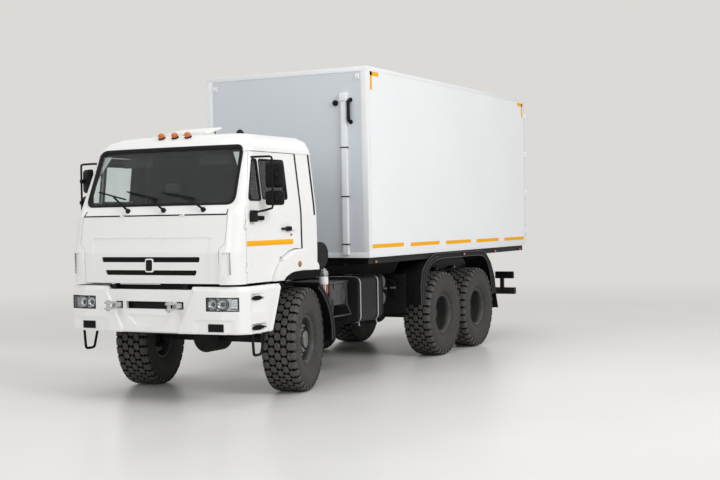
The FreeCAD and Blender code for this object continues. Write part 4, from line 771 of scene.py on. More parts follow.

# %% [markdown]
# Each wheel is three pieces: the painted steel, the dark hub and barrel, and the bare nuts. The hub is
# dark glossy paint with painted shade round it, and the barrel's near-black is painted shade.
# They ride on the same body as their tyre, so that they roll and steer with it.

# %% Wheels
for spot, hand in WHEELS:
    matrix, kind = wheel_place(spot, hand), FRONT_WHEEL if spot == "front" else REAR_WHEEL
    where = "%s_%s" % (spot, hand)
    form, recess, nuts = Form(), Form(), Form()
    form.lathe(kind["face"], 72, matrix)
    form.lathe(kind["rim"], 72 if spot == "front" else 48, matrix)
    if spot == "front":
        form.lathe([(0.205, 0.045), (0.205, -0.0995), (0.06, -0.1), (0.0, -0.1)], 48, matrix)
    form.bar([matrix @ Vector(p) for p in kind["valve"]], 0.0045, 8)
    # the seat of the removable flange
    form.lathe([(0.2745, 0.1600), (0.2765, 0.1628), (0.2785, 0.1612)], 72, matrix)
    recess.lathe(kind["barrel"], 72, matrix)
    recess.lathe(kind["hub"], 48, matrix)
    for ring in kind["nuts"]:
        bolt_ring(nuts, matrix, *ring)
    form.done("steel_wheel_" + where, wheel_grey, "road_wheel_" + where, 30.0, "wheel_" + where, "wheel_paint")
    # the hub's dark paint, with painted shade in the barrel and round the hub
    recess.done("wheel_recess_" + where, wheel_dark, "road_wheel_" + where, 30.0)
    nuts.done("wheel_nuts_" + where, galvanised, "road_wheel_" + where, 30.0)
print("wheels", len(WHEELS))

# %% [markdown]
# ## Window rubbers
# Each pane of a truck cab is held by a rubber profile that laps over the paint and down to the glass.
# We draw the pane's outline flat, drop its points onto the CAD's cab with a ray, and carry one section
# round them; so the rubber follows the bowed windscreen without any fitting by hand.

# %% Rubbers round the panes
def rubber_round(name, corners, radius, way, skin, section, body):
    """A closed profile: corners are flat points in the plane that the way looks through."""
    flat = dense(rounded(corners, radius, 8), 0.06)
    spots, normals = skin.lay([at(0, *p) if way[0] else at(p[0], 0, p[1]) for p in flat], way)
    middle = sum(spots, Vector()) / len(spots)
    form, rings = Form(), []
    for i, (spot, out) in enumerate(zip(spots, normals)):
        along = (spots[(i + 1) % len(spots)] - spots[i - 1]).normalized()
        out = (out - along * out.dot(along)).normalized()
        inward = along.cross(out)
        inward *= 1 if inward.dot(middle - spot) > 0 else -1
        rings.append([form.bm.verts.new(spot + inward * a + out * b) for a, b in section])
    form.skirt(rings, True)
    return form.done(name, seal_rubber, body, 60.0)


SCREEN_RUBBER = [(-0.003, -0.002), (-0.002, 0.005), (0.004, 0.0095), (0.016, 0.0095), (0.028, 0.003), (0.046, -0.012),
                 (0.048, -0.020), (0.020, -0.024), (0.012, -0.010)]
WINDOW_RUBBER = [(-0.002, -0.001), (-0.001, 0.003), (0.004, 0.005), (0.011, 0.0045), (0.018, -0.004), (0.024, -0.016),
                 (0.024, -0.020), (0.011, -0.020), (0.009, -0.008)]
PANES = (("quarter", [(1.117, 2.265), (0.840, 2.265), (0.840, 2.745), (0.944, 2.745)]),
         ("window", [(0.815, 2.280), (0.260, 2.280), (0.260, 2.745), (0.815, 2.745)]))
rubber_round("windscreen_rubber", [(-1.047, 2.228), (1.047, 2.228), (1.012, 2.905), (-1.012, 2.905)], 0.105,
             REARWARD, Skin("cab_front", "cab_roof", "door_left", "door_right", "front_panel"), SCREEN_RUBBER, "cab")
for hand, side, flip in SIDES:
    for pane, corners in PANES:
        rubber_round("%s_rubber_%s" % (pane, hand), corners, 0.045, (0, -side, 0), Skin("door_" + hand),
                     WINDOW_RUBBER, "cab_door_" + hand)
print("window rubbers", 1 + len(SIDES) * len(PANES))

# %% [markdown]
# ## Seal strips and the yellow stripe
# Dark seams frame the doors and the cab's rear corner, and a reflective yellow stripe runs along each
# door. All are thin ribbons on the skin, so one helper lays them: a centre line dropped onto the
# skin, widened, and raised by about a millimetre so that it never fights with the paint.

# %% Ribbons on the skin
def ribbon(name, line, way, width, skin, finish, body, proud, thick):
    """A flat ribbon along a line of places; the way is the one the ray looks along."""
    points = dense([at(*spot) for spot in line], 0.05, False)
    spots, normals = skin.lay(points, way, proud)
    half = width / 2
    form = Form().sweep(spots, [(-half, 0), (-half * 0.9, thick), (half * 0.9, thick), (half, 0)], normals)
    return form.done(name, finish, body, 50.0)


COWL = (("seam", [(0, y / 20, 2.121) for y in range(-20, 21)], 0.012),
        ("tick_left", [(0, 1.0, 2.121), (0, 0.990, 2.175)], 0.010),
        ("tick_right", [(0, -1.0, 2.121), (0, -0.990, 2.175)], 0.010))
for hand, side, flip in SIDES:
    way, door, body_skin = (0, -side, 0), "door_" + hand, Skin("cab_sides", "door_" + hand, "cab_back_wall")
    for name, x, low, width in (("door_seam_", -0.009, 1.705, 0.030), ("rear_seam_", -0.331, 2.10, 0.036)):
        ribbon(name + hand, [(x, 0, low), (x, 0, 2.826)], way, width, body_skin, seal_rubber, "cab", 0.0005, 0.004)
    ribbon("side_stripe_" + hand, [(1.183, 0, 1.790), (0.19, 0, 1.790)], way, 0.058, Skin(door), marking_tape,
           "cab_" + door, 0.0008, 0.0015)
front_skin = Skin("cab_front", "front_panel")
for part, line, width in COWL:
    ribbon("cowl_" + part, line, REARWARD, width, front_skin, seal_rubber, "cab", 0.0014, 0.003)
print("ribbons", 3 * len(SIDES) + len(COWL))

# %% [markdown]
# ## Wipers
# Three wipers park low on the windscreen. Each has a spindle cap, a cranked arm that tapers, and a
# blade with a thin rubber lip. They lie on the same skin as the rubbers, which keeps them a
# constant few millimetres off the glass.

# %% Wipers
glass_skin = Skin("windscreen", "cab_front", "cab_roof", "front_panel")


def on_screen(spot, proud):
    """The point over a place on the glass, given by y and z, and the way the glass faces there."""
    found, normal = glass_skin.hit(at(3, *spot), REARWARD)
    return found + normal * proud, normal


# pivot, elbow, tip and heel of each blade as (y, z)
WIPERS = (((-0.361, 2.172), (-0.607, 2.319), (-0.882, 2.397), (-0.440, 2.300)),
          ((0.145, 2.172), (-0.099, 2.314), (-0.445, 2.391), (0.016, 2.301)),
          ((0.678, 2.172), (0.430, 2.300), (0.052, 2.375), (0.517, 2.300)))
form = Form()
for pivot, elbow, tip, heel in WIPERS:
    form.lathe([(0.0, -0.004), (0.029, -0.004), (0.029, 0.014), (0.022, 0.030), (0.012, 0.036), (0.0, 0.036)], 20,
               outward(*on_screen(pivot, 0.0)))
    ends, end_ways = zip(on_screen(pivot, 0.026), on_screen(elbow, 0.046))
    form.sweep(ends, [(-0.012, 0), (-0.009, 0.010), (0.009, 0.010), (0.012, 0)], end_ways)
    blade, ways = zip(*[on_screen(Vector(tip).lerp(Vector(heel), t), 0.030) for t in (0, 0.1, 0.3, 0.5, 0.7, 0.9, 1)])
    form.sweep(blade, [(-0.009, 0), (-0.007, 0.007), (0.0, 0.010), (0.007, 0.007), (0.009, 0)], ways)
    form.sweep([spot - out * 0.009 for spot, out in zip(blade, ways)],
               [(-0.002, 0), (-0.002, 0.010), (0.002, 0.010), (0.002, 0)], ways)
    form.bar([ends[1] + end_ways[1] * 0.004, blade[3] + ways[3] * 0.012], 0.0055, 8)
    form.lathe([(0, -0.008), (0.009, -0.006), (0.009, 0.010), (0, 0.012)], 12, outward(ends[1], end_ways[1]))
form.done("wiper_set", black_plastic, "cab", 40.0, "wipers")
print("wipers", len(WIPERS))

# %% [markdown]
# ## Mirrors
# A tube frame on each door carries a tall mirror over a wide-angle one. The housings are shallow
# rounded shells, open at the back where the glass sits, so we build each as a rounded outline with a
# domed front, then a thin silvered plate at the back, and clamps where the tube runs behind it.

# %% Mirrors
def shell(form, low, high, dome, corner, matrix):
    """A housing: rounded outline in local X and Y, domed towards local +Z."""
    middle, outline = (Vector(low) + Vector(high)) / 2, oblong(low, high, corner, 6)
    rings = []
    for share, level in ((1.0, 0.0), (1.0, 0.35), (0.97, 0.62), (0.88, 0.85), (0.70, 0.97), (0.35, 1.0)):
        spots = [(*middle.lerp(Vector(spot), share), dome * level) for spot in outline]
        rings.append([form.bm.verts.new(matrix @ Vector(spot)) for spot in spots])
    form.skirt(rings)
    form.bm.faces.new(rings[-1])
    form.bm.faces.new(rings[0])


YAW, ACROSS = 28, Matrix(((0, 0, 1), (1, 0, 0), (0, 1, 0))).to_4x4()
TUBE = ((0.034, -0.030, 2.758), (0.044, -0.006, 2.750), (0.046, 0.0, 2.725), (0.046, 0.0, 2.205),
        (0.044, -0.006, 2.182))
for hand, side, flip in SIDES:
    form, silver, grip = Form(), Form(), Form()
    yaw = flip @ turned("Z", YAW, at(0.838, 1.336, 0))
    for half, low, high, back, deep in ((0.1025, 2.410, 2.700, -0.034, 0.067), (0.1065, 2.212, 2.377, -0.032, 0.074)):
        view = yaw @ Matrix.Translation((back, 0, 0)) @ ACROSS
        shell(form, (-half, low), (half, high), deep, 0.040, view)
        silver.plate(oblong((-half + 0.008, low + 0.008), (half - 0.008, high - 0.008), 0.034, 6), -0.0012, 0.001,
                     view)
        z, x = (low + high) / 2, back + deep
        form.slab((x - 0.012, 0.006, z - 0.024), (x + 0.052, 0.046, z + 0.024), 0.006, yaw)
        form.slab((x - 0.010, -0.030, z - 0.045), (x + 0.006, 0.060, z + 0.045), 0.006, yaw)
    bend = [turned("Z", YAW, at(0.885, 1.338, 0)) @ Vector(spot) for spot in TUBE]
    form.bar([at(0.940, 1.060, 2.758), at(0.928, 1.200, 2.760)] + bend + [at(0.960, 1.290, 2.160),
             at(1.045, 1.200, 2.135)], 0.0125, 12, matrix=flip)
    form.block(1.000, 1.164, 2.120, 1.108, 1.216, 2.160, 0.012, flip)
    form.block(1.012, 1.178, 2.030, 1.125, 1.222, 2.140, 0.014, flip)
    form.block(0.845, 1.176, 2.050, 1.020, 1.200, 2.092, 0.006, flip)
    for x in (0.855, 0.885, 0.915, 0.945, 0.975):
        form.block(x, 1.190, 2.046, x + 0.013, 1.206, 2.096, 0.003, flip)
    for x in (1.020, 1.090):
        form.lathe([(0, 1.214), (0.007, 1.214), (0.006, 1.219), (0, 1.220)], 10,
                   flip @ Matrix.Translation(at(x, 0, 2.135)))
    form.done("mirror_housings_" + hand, black_plastic, "cab_door_" + hand, replaces="mirrors_" + hand)
    silver.done("mirror_glass_" + hand, mirror_glass, "cab_door_" + hand, 30.0)
    grip.block(0.262, 1.176, 1.932, 0.452, 1.207, 1.957, 0.009, flip)
    grip.block(0.250, 1.166, 1.915, 0.345, 1.207, 1.970, 0.012, flip)
    grip.lathe([(0, 1.180), (0.011, 1.180), (0.011, 1.186), (0.009, 1.188), (0, 1.188)], 16,
               flip @ Matrix.Translation(at(0.235, 0, 1.872)))
    grip.done("door_handle_" + hand, black_plastic, "cab_door_" + hand)
print("mirrors and handles on both doors")

# %% [markdown]
# ## Roof fittings
# Three amber clearance lamps stand on black feet at the front of the roof, with an antenna's foot behind
# them. The ventilation hatch is a pressed lid with a turned-down rim, held up at its rear edge; its
# stays hang inside the opening.

# %% Roof lamps and hatch
roof_skin = Skin("cab_roof")
LAMP_PLACES = (-0.21, -0.02, 0.165)
feet, domes, lid, stays = Form(), Form(), Form(), Form()
for y in LAMP_PLACES:
    upright = outward(*roof_skin.hit(at(0.83, y, 4), (0, 0, -1)), (1, 0, 0))
    feet.lathe([(0, -0.004), (0.044, -0.004), (0.044, 0.010), (0.041, 0.017), (0, 0.017)], 28, upright)
    domes.lathe([(0.038, 0.016), (0.038, 0.044), (0.034, 0.056), (0.024, 0.0635), (0.011, 0.0665), (0, 0.067)], 28,
                upright)
feet.lathe([(0.0, -0.003), (0.060, -0.003), (0.058, 0.016), (0.044, 0.044), (0.022, 0.070), (0.0, 0.076)], 24,
           turned("X", 90, at(0.245, 0.50, 3.060)))
feet.done("roof_lamp_feet", black_plastic, "cab")
domes.done("roof_lamp_domes", orange_lens, "cab", replaces="roof_lamps")
LID_TILT, LID_LONG, LID_WIDE = 14, 0.330, 0.62
lean = math.radians(LID_TILT)
tilt = turned("Y", LID_TILT, at(0.638 - LID_LONG * math.cos(lean), -0.31, 3.072 + LID_LONG * math.sin(lean)))
lid.plate(oblong((0, 0), (LID_LONG, LID_WIDE), 0.035, 6), 0.0, 0.016, tilt, 0.006)
lid.plate(oblong((0.045, 0.05), (0.285, 0.57), 0.025, 6), 0.0155, 0.0215, tilt, 0.005)
lid.done("hatch_lid", cab_white, "hatch", replaces="roof_hatch")
for y in (0.075, 0.545):
    stays.bar([tilt @ Vector(p) for p in ((0.060, y, 0.002), (0.075, y, -0.075), (0.085, y, -0.115))], 0.006, 10)
    stays.slab((0.045, y - 0.014, -0.010), (0.080, y + 0.014, 0.001), 0.003, tilt)
stays.done("hatch_stays", black_plastic, "hatch")
print("roof lamps", len(LAMP_PLACES), "and the hatch's lid")

# %% [markdown]
# ## Headlamps and the bumper's fittings
# The bumper's face turns back in two facets, and each headlamp bends with it. We take points of that
# face as a polyline, sink them by a few millimetres, and carry flat sections along it for the lens and
# its black bezel. Behind the lens sit two turned reflector bowls with a dark lamp shade in each.

# %% Along the bumper's face
FACE = [(0.330, 1.4296), (0.950, 1.405), (1.170, 1.345), (1.250, 1.240)]


def face_x(y):
    """How far ahead the bumper's face stands at a distance from the middle."""
    for (y0, x0), (y1, x1) in zip(FACE, FACE[1:]):
        if y <= y1:
            return x0 + (x1 - x0) * max(0.0, (y - y0) / (y1 - y0))
    return FACE[-1][1]


def bent(low, high, sunk, z, count=14):
    """Points along the face between two distances from the middle, softened at the facet's edge."""
    points, outs = [], []
    for k in range(count + 1):
        y = low + (high - low) * k / count
        x = (face_x(y - 0.03) + 2 * face_x(y) + face_x(y + 0.03)) / 4
        out = Vector((1, (face_x(y - 0.04) - face_x(y + 0.04)) / 0.08, 0)).normalized()
        points.append(at(x, y, z) - out * sunk)
        outs.append(out)
    return points, outs


def band(form, flip, low, high, sunk, z, half, back, front, count=14, taper=0.0):
    """A strip of the face from low to high: half its height, and how far it reaches back and to the front."""
    spots, outs = bent(low, high, sunk, z, count)
    form.sweep(spots, [(-half, back), (taper - half, front), (half - taper, front), (half, back)], outs, matrix=flip)


print("the face turns back by", round(face_x(0) - face_x(1.2), 3), "m at the lamps")

# %% [markdown]
# A tray closes each lamp from behind, two bowls and a ribbed lamp stand in it, and a thin clear cover
# lies over all three. We mirror the left lamp's frame for the right one instead of its mesh.

# %% Headlamps
LAMP_Z = 1.1275
for hand, side, flip in SIDES:
    tray, bowls, cover = Form(), Form(), Form()
    band(tray, flip, 0.774, 1.162, 0.040, LAMP_Z, 0.0745, -0.002, 0.002)
    for z in (1.0565, 1.1985):
        band(tray, flip, 0.774, 1.162, 0.022, z, 0.004, -0.018, 0.017)
        edge = z + math.copysign(0.002, z - LAMP_Z)
        band(tray, flip, 0.7735, 1.1625, 0.0035, edge, 0.0075, -0.004, 0.003, taper=0.0005)
    for y in (0.779, 1.157):
        band(tray, flip, y - 0.002, y + 0.002, 0.022, LAMP_Z, 0.074, -0.018, 0.017, 1)
    for low, high in ((0.7735, 0.7850), (1.1510, 1.1625)):
        band(tray, flip, low, high, 0.0035, LAMP_Z, 0.077, -0.004, 0.003, 2)
    # the panel that carries the bowls, with a ribbed lamp at the outer end
    band(bowls, flip, 0.786, 1.150, 0.030, LAMP_Z, 0.066, -0.001, 0.001)
    for y, radius in ((0.850, 0.056), (0.975, 0.060)):
        spots, outs = bent(y - 0.01, y + 0.01, 0.012, LAMP_Z, 2)
        view = flip @ outward(spots[1], outs[1])
        bowls.lathe([(radius, 0.0), (radius - 0.003, 0.002), (radius - 0.006, 0.0), (radius * 0.86, -0.008),
                     (radius * 0.66, -0.016), (radius * 0.40, -0.0215), (radius * 0.33, -0.0225)], 32, view)
        tray.lathe([(radius + 0.0005, -0.018), (radius + 0.0005, 0.002), (radius + 0.0075, 0.0005),
                    (radius + 0.0080, -0.018)], 32, view)
        tray.lathe([(radius * 0.46, -0.0212), (radius * 0.40, -0.012), (radius * 0.32, -0.008), (0.0, -0.007)], 24,
                   view)
    for k in range(6):
        spots, outs = bent(1.062, 1.142, 0.021, 1.080 + 0.019 * k, 4)
        bowls.sweep(spots, [(-0.008, -0.006), (0.0, 0.004), (0.008, -0.006)], outs, matrix=flip)
    band(cover, flip, 0.7755, 1.1605, 0.0045, LAMP_Z, 0.0740, -0.001, 0.001, 20, 0.002)
    tray.done("headlamp_tray_" + hand, black_plastic, replaces="lamps" if side > 0 else "")
    bowls.done("headlamp_bowls_" + hand, reflector, sharp=45.0)
    cover.done("headlamp_lens_" + hand, clear_lens, sharp=60.0)
print("headlamps", len(SIDES))

# %% [markdown]
# Below the lamps sit ribbed blanks; the corners carry serrated step grips in their recesses and a bar
# step that hangs under them. The grips' teeth are cut as zigzag outlines in five layers, which catch
# the light as the real pressed steps do.

# %% Bumper fittings
# each layer of a grip: its rise, how much shorter it is at each end, and how far it stands out
GRIP_LAYERS = ((-0.004, 0.095, 0.0), (0.006, 0.040, 0.004), (0.016, -0.010, 0.007), (0.026, 0.040, 0.004),
               (0.036, 0.095, 0.0))
HOOP = [(1.130, 0.7947), (1.119, 0.69), (1.108, 0.580), (1.098, 0.554), (1.078, 0.546), (1.03, 0.545), (0.982, 0.546),
        (0.958, 0.553), (0.944, 0.572), (0.906, 0.69), (0.870, 0.7947)]
fittings = Form()
for hand, side, flip in SIDES:
    band(fittings, flip, 0.790, 0.986, 0.0105, 0.8675, 0.0435, -0.008, 0.003, 8)
    for k in range(5):
        band(fittings, flip, 0.798, 0.978, 0.0080, 0.836 + 0.0157 * k, 0.0035, -0.001, 0.003, 8, 0.0015)
    for z in (1.165, 0.837):
        for rise, inset, out in GRIP_LAYERS:
            low_x, high_x, teeth = 0.922 + inset, 1.208 - inset, round(15 - 105 * inset)
            outline = [(low_x, 1.2205), (high_x, 1.2205)]
            for k in range(2 * teeth, -1, -1):
                outline.append((low_x + (high_x - low_x) * k / teeth / 2, (1.2415 if k % 2 else 1.2335) + out))
            fittings.plate(outline, z + rise, z + rise + 0.0095, flip @ HUB)
        fittings.block(0.990, 1.2205, z - 0.002, 1.140, 1.2300, z + 0.0450, 0.002, flip)
    fittings.block(1.3305, 0.378, 1.072, 1.4120, 0.466, 1.144, 0.004, flip)
    fittings.bar([at(x, 1.19, z) for x, z in HOOP], 0.0155, 12, matrix=flip)
fittings.plate(oblong((1.298, -0.449), (1.414, 0.449), 0.03), 0.7830, 0.7945, HUB, 0.003)
for z in (1.205, 1.240, 1.275):
    fittings.block(1.318, -0.620, z - 0.012, 1.334, 0.620, z + 0.012, 0.005)
fittings.block(1.306, -0.640, 1.180, 1.320, 0.640, 1.3360, 0.004)
fittings.done("bumper_trim", black_plastic, sharp=32.0, replaces="bumper_fittings")

print("step grips with", len(GRIP_LAYERS), "layers each")

# %% [markdown]
# Three thin slats cross each opening of the grille, and a plain badge without any sign sits on its
# bar. Narrow louvres at the cab's front corners let air out; each is a small block in a dark pocket.

# %% Grille, badge and louvres
grille, grille_skin = Form(), Skin("grille")
for low, tall, half_low, half_top in ((1.592, 0.059, 0.675, 0.688), (1.445, 0.057, 0.618, 0.645)):
    for share in (0.24, 0.5, 0.76):
        y = half_low + (half_top - half_low) * share - 0.012
        spots, ways = grille_skin.lay([at(3, -y + 2 * y * k / 40, low + tall * share) for k in range(41)], REARWARD,
                                      0.0, 0.0)
        grille.sweep(spots, [(-0.0055, -0.001), (-0.003, 0.006), (0.003, 0.006), (0.0055, -0.001)], ways)
grille.done("grille_slats", black_plastic, "service_panel", 40.0)

badge, badge_field, louvres, pockets = Form(), Form(), Form(), Form()
spot = Vector((Skin("front_panel", "grille").hit(at(3, 0.3, 1.55), REARWARD)[0].x + 0.004, 0, 1.556))
view = facing(spot, (0.9995, 0, 0.03))
outline = oblong((-0.056, -0.077), (0.056, 0.077), 0.024, 6)
badge.plate(outline, -0.030, 0.006, view, 0.004)
badge_field.plate([(x * 0.76, y * 0.82) for x, y in outline], 0.0055, 0.0080, view, 0.001)
badge.done("blank_badge_frame", cab_white, "service_panel")
badge_field.done("blank_badge_field", black_plastic, "service_panel")
for hand, side, flip in SIDES:
    for k in range(11):
        z = 1.462 + 0.0215 * k
        louvres.block(1.3760, 1.0790, z, 1.3950, 1.0865, z + 0.0105, 0.002, flip)
    pockets.plate([(1.3740, 1.0865), (1.3740, 0.9850), (1.3960, 0.9850), (1.3770, 1.0780)], 1.440, 1.7005, flip @ HUB)
louvres.done("corner_louvres", black_plastic, "cab")
pockets.done("corner_pockets", cab_white, "cab")
print("grille, louvres and blank badge ready")

# %% [markdown]
# The towing forks are forgings: a thick shank, two rounded ears and a pin with a head and a split
# link. Rounded outlines in plan give the ears, and turned forms give the pins.

# %% Towing forks
forks = Form()
for hand, side, flip in SIDES:
    y = side * 0.422
    for low in (1.0640, 1.1310):
        forks.plate(oblong((1.500, y - 0.035), (1.660, y + 0.035), 0.03, 6), low, low + 0.022, HUB, 0.003)
    forks.block(1.3460, y - 0.026, 1.080, 1.522, y + 0.026, 1.136, 0.010)
    forks.lathe([(0, -0.016), (0.0200, -0.016), (0.0200, 0.086), (0.030, 0.090), (0.030, 0.100), (0.022, 0.1030),
                 (0, 0.1030)], 20, turned("X", 90, at(1.620, y, 1.065)))
    forks.bar([at(1.620, y + 0.020 * math.cos(a), 1.0625 + 0.008 * math.sin(a)) for a in around(12)], 0.0028, 6, True)
forks.done("tow_fork_pair", fork_grey, replaces="tow_forks")
print("tow forks", len(SIDES))

# %% [markdown]
# ## Bumper
# The bumper is one deep pressing: blocks that stand out round the headlamps, a lower centre, a shelf
# along the top, scoops for the corner steps and a sill below the lamps. We build it as a grid that
# wraps round the CAD solid's outer face and sinks inwards by a depth that each feature adds.

# %% Depth of the pressing
LOW_EDGE, CENTRE_TOP, CORNER_TOP, OUTER = 0.795, 1.285, 1.320, 1.2498


def ease(low, high, value):
    """0 below low, 1 above high, and a smooth step between them."""
    t = min(1.0, max(0.0, (value - low) / (high - low)))
    return t * t * (3 - 2 * t)


def inside(low, high, value, soft=0.012):
    """1 between low and high, 0 beyond them, with soft ends."""
    return ease(low - soft, low + soft, value) * (1 - ease(high - soft, high + soft, value))


def ticks(marks, step):
    """Values that meet every mark, no further apart than step."""
    values = []
    for low, high in zip(marks, marks[1:]):
        parts = max(1, math.ceil((high - low) / step))
        values += [low + (high - low) * k / parts for k in range(parts)]
    return values + [marks[-1]]


def rear_edge(z):
    """Where the bumper's side ends in front of the wheel."""
    return 0.556 + (1.40 - z) * 0.3935


def sink(y, x, z):
    """How deep the pressing lies below the outer face at one point of the left half."""
    deep = 0.010 * (1 - ease(LOW_EDGE, LOW_EDGE + 0.016, z))
    if x > 1.26:
        # the lower centre, its inlet, the sill below the lamp and that sill's edge
        edge = 0.60 - 0.21 * min(1.0, max(0.0, (1.25 - z) / 0.40))
        inlet = 0.30 - 0.10 * ease(0.886, 0.993, 0.886 + 0.993 - z)
        deep += 0.0135 * (1 - ease(edge - 0.016, edge + 0.016, y))
        deep += 0.009 * inside(-1, inlet, y, 0.008) * inside(0.886, 0.990, z, 0.007)
        deep += 0.012 * ease(0.62, 0.645, y) * (1 - ease(1.05, 1.13, y)) * (1 - ease(0.936, 0.956, z))
        deep += 0.006 * inside(0.60, 0.625, y, 0.010) * (1 - ease(0.93, 0.96, z))
    if y > 0.58:
        deep += 0.034 * max(0.0, z - 1.282) / 0.038 * ease(0.60, 0.63, y)
    if y > 1.20 and x < 1.30:
        # the scoops of the two steps and the rolled rear edge
        scoop = (z - 1.03) / 0.12 if z < 1.15 else 1.0
        upper = inside(0.915, 1.215, x, 0.020) * max(0.0, scoop) * (1 - ease(1.224, 1.240, z))
        deep += 0.030 * upper * ease(0.90, 1.16, x + 0.10 * (1 - scoop))
        deep += 0.030 * inside(0.915, 1.215, x, 0.014) * inside(0.826, 0.896, z, 0.010)
        deep += 0.010 * inside(rear_edge(z) + 0.045, rear_edge(z) + 0.085, x, 0.018)
    return deep


print("depth in the lower centre:", round(sink(0.1, 1.42, 0.94), 4), "m")

# %% [markdown]
# The grid's rows run along the bumper and its columns up and down. Their lines meet the edges of
# every opening, so that a hole is simply left out, and every open edge is then turned inward.

# %% Bumper pressing
# the openings as (low y, high y, low z, high z); the rows and columns of the grid meet their edges
SIDE_END = 0.86
HOLES = ((-0.327, 0.327, 1.066, 1.150), (0.374, 0.470, 1.066, 1.150), (0.771, 1.165, 1.050, 1.205))
rows = ticks([LOW_EDGE, 0.811, 0.886, 0.993, 1.050, 1.066, 1.150, 1.205, 1.240, CENTRE_TOP, CORNER_TOP], 0.0115)
columns = []
for y in ticks([0.0, 0.327, 0.374, 0.470, 0.575, 0.66, 0.771, 0.950, 1.165, 1.170, OUTER], 0.0125):
    columns.append((y, (face_x(max(y - 0.02, 0.0)) + 2 * face_x(y) + face_x(min(y + 0.02, OUTER))) / 4, 0))
columns += [(OUTER, x, 0) for x in ticks([SIDE_END, 0.905, 1.225], 0.0125)[::-1]]
columns += [(OUTER, SIDE_END, k / 6) for k in range(1, 7)]
pressing = bmesh.new()
for side in (1, -1):
    grid = []
    for y, column_x, back in columns:
        line = []
        for z in rows:
            x = column_x + (rear_edge(z) - column_x) * back
            z = min(z, CENTRE_TOP + (CORNER_TOP - CENTRE_TOP) * min(1.0, max(0.0, (y - 0.575) / 0.025)))
            out = Vector((0.02, face_x(max(y - 0.01, 0.0)) - face_x(y + 0.01), 0))
            if y >= 1.235:
                out = Vector((max(0.0, (x - 1.20) / 0.045), 1, 0))
            spot = Vector((x, y, z)) - out.normalized() * sink(y, x, z)
            line.append(pressing.verts.new(at(spot.x, side * spot.y, z)))
        grid.append(line)
    for (a, near), (b, far) in zip(zip(columns, grid), zip(columns[1:], grid[1:])):
        for i in range(len(rows) - 1):
            y, z = (a[0] + b[0]) / 2, (rows[i] + rows[i + 1]) / 2
            if not any(low < y < high and bottom < z < top for low, high, bottom, top in HOLES):
                pressing.faces.new((near[i], far[i], far[i + 1], near[i + 1]))
bmesh.ops.remove_doubles(pressing, verts=pressing.verts, dist=0.0006)
bmesh.ops.dissolve_degenerate(pressing, edges=pressing.edges, dist=0.0005)
bmesh.ops.recalc_face_normals(pressing, faces=pressing.faces)
# every open edge turns inward
rim = [e for e in pressing.edges if e.is_boundary]
for v in bmesh.ops.extrude_edge_only(pressing, edges=rim)["geom"]:
    if isinstance(v, bmesh.types.BMVert):
        v.co -= 0.045 * Vector((1, 0, 0) if abs(v.co.y) < 1.18 else (0, math.copysign(1, v.co.y), 0))
bmesh.ops.recalc_face_normals(pressing, faces=pressing.faces)
mesh = bpy.data.meshes.new("bumper_pressing")
pressing.to_mesh(mesh)
pressing.free()
dress("bumper_pressing", mesh, cab_white, "chassis", 42.0, "bumper")
print("bumper faces", len(mesh.polygons))

# %% [markdown]
# ## Load box
# The box is made of smooth panels held by light aluminium rails: a post at each corner, a rail along the
# top and a deeper one along the floor. They stand two millimetres proud, enough for the light to
# show them. Reflective yellow marks outline each side: a broken line low down and two corner angles.

# %% Rails, posts and marks
FRONT, REAR, LOW, TOP, HALF, PROUD = -1.625, -7.525, 1.530, 4.030, 1.250, 0.0022
STRIPS = ((-1.714, -2.667, 1.676), (-2.891, -3.882, 1.670), (-4.120, -5.085, 1.664), (-5.307, -6.271, 1.659),
          (-6.519, -7.470, 1.655))
rails, marks = Form(), Form()
for hand, side, flip in SIDES:
    rails.blocks(
        0.0014, flip,
        (REAR - 0.010, HALF - 0.004, TOP - 0.052, FRONT + PROUD, HALF + PROUD, TOP - 0.0005),
        (REAR - 0.010, HALF - 0.004, LOW, FRONT + PROUD, HALF + PROUD, LOW + 0.094),
        (REAR - 0.010, HALF - 0.001, LOW + 0.090, FRONT, HALF + 0.0045, LOW + 0.0975),
        (FRONT - 0.082, HALF - 0.004, LOW + 0.002, FRONT + PROUD * 0.7, HALF + PROUD * 0.8, TOP - 0.05),
        (FRONT - 0.004, HALF - 0.088, LOW + 0.003, FRONT + PROUD * 0.9, HALF + PROUD * 0.6, TOP - 0.05),
        (REAR - 0.0095, HALF - 0.004, LOW + 0.002, REAR + 0.062, HALF + PROUD * 0.8, TOP - 0.05))
    rails.hose(0.003, 8, *[(FRONT - 0.086, HALF + 0.0005, z) for z in (LOW + 0.1, TOP - 0.055)], matrix=flip)
    for start, end, z in STRIPS:
        marks.block(end, HALF - 0.001, z - 0.026, start, HALF + 0.0011, z + 0.026, 0.0004, flip, 1)
    for x, way, z in ((-1.722, -1, 3.968), (-7.470, 1, 3.962)):
        for length, depth in ((0.245, 0.052), (0.052, 0.238)):
            start, end = sorted((x, x + way * length))
            marks.block(start, HALF - 0.001, z - depth, end, HALF + 0.0034, z, 0.0004, flip, 1)
rails.blocks(0.0014, None, (FRONT - 0.004, -HALF, TOP - 0.060, FRONT + PROUD * 1.1, HALF, TOP - 0.0005),
             (FRONT - 0.004, -HALF, LOW, FRONT + PROUD * 1.1, HALF, LOW + 0.070))
rails.hose(0.003, 8, *[(FRONT + 0.002, y, TOP - 0.064) for y in (-HALF + 0.09, HALF - 0.09)])
rails.done("box_rails", trim_white, sharp=30.0)
marks.done("marking_strips", marking_tape, sharp=30.0)
print("marks on each side", len(STRIPS) + 2)

# %% [markdown]
# The front wall carries a few fittings: a white cable channel with its junction box and clamps, a dark
# dome lamp, a black grab loop, and a lashing eye near each top corner.

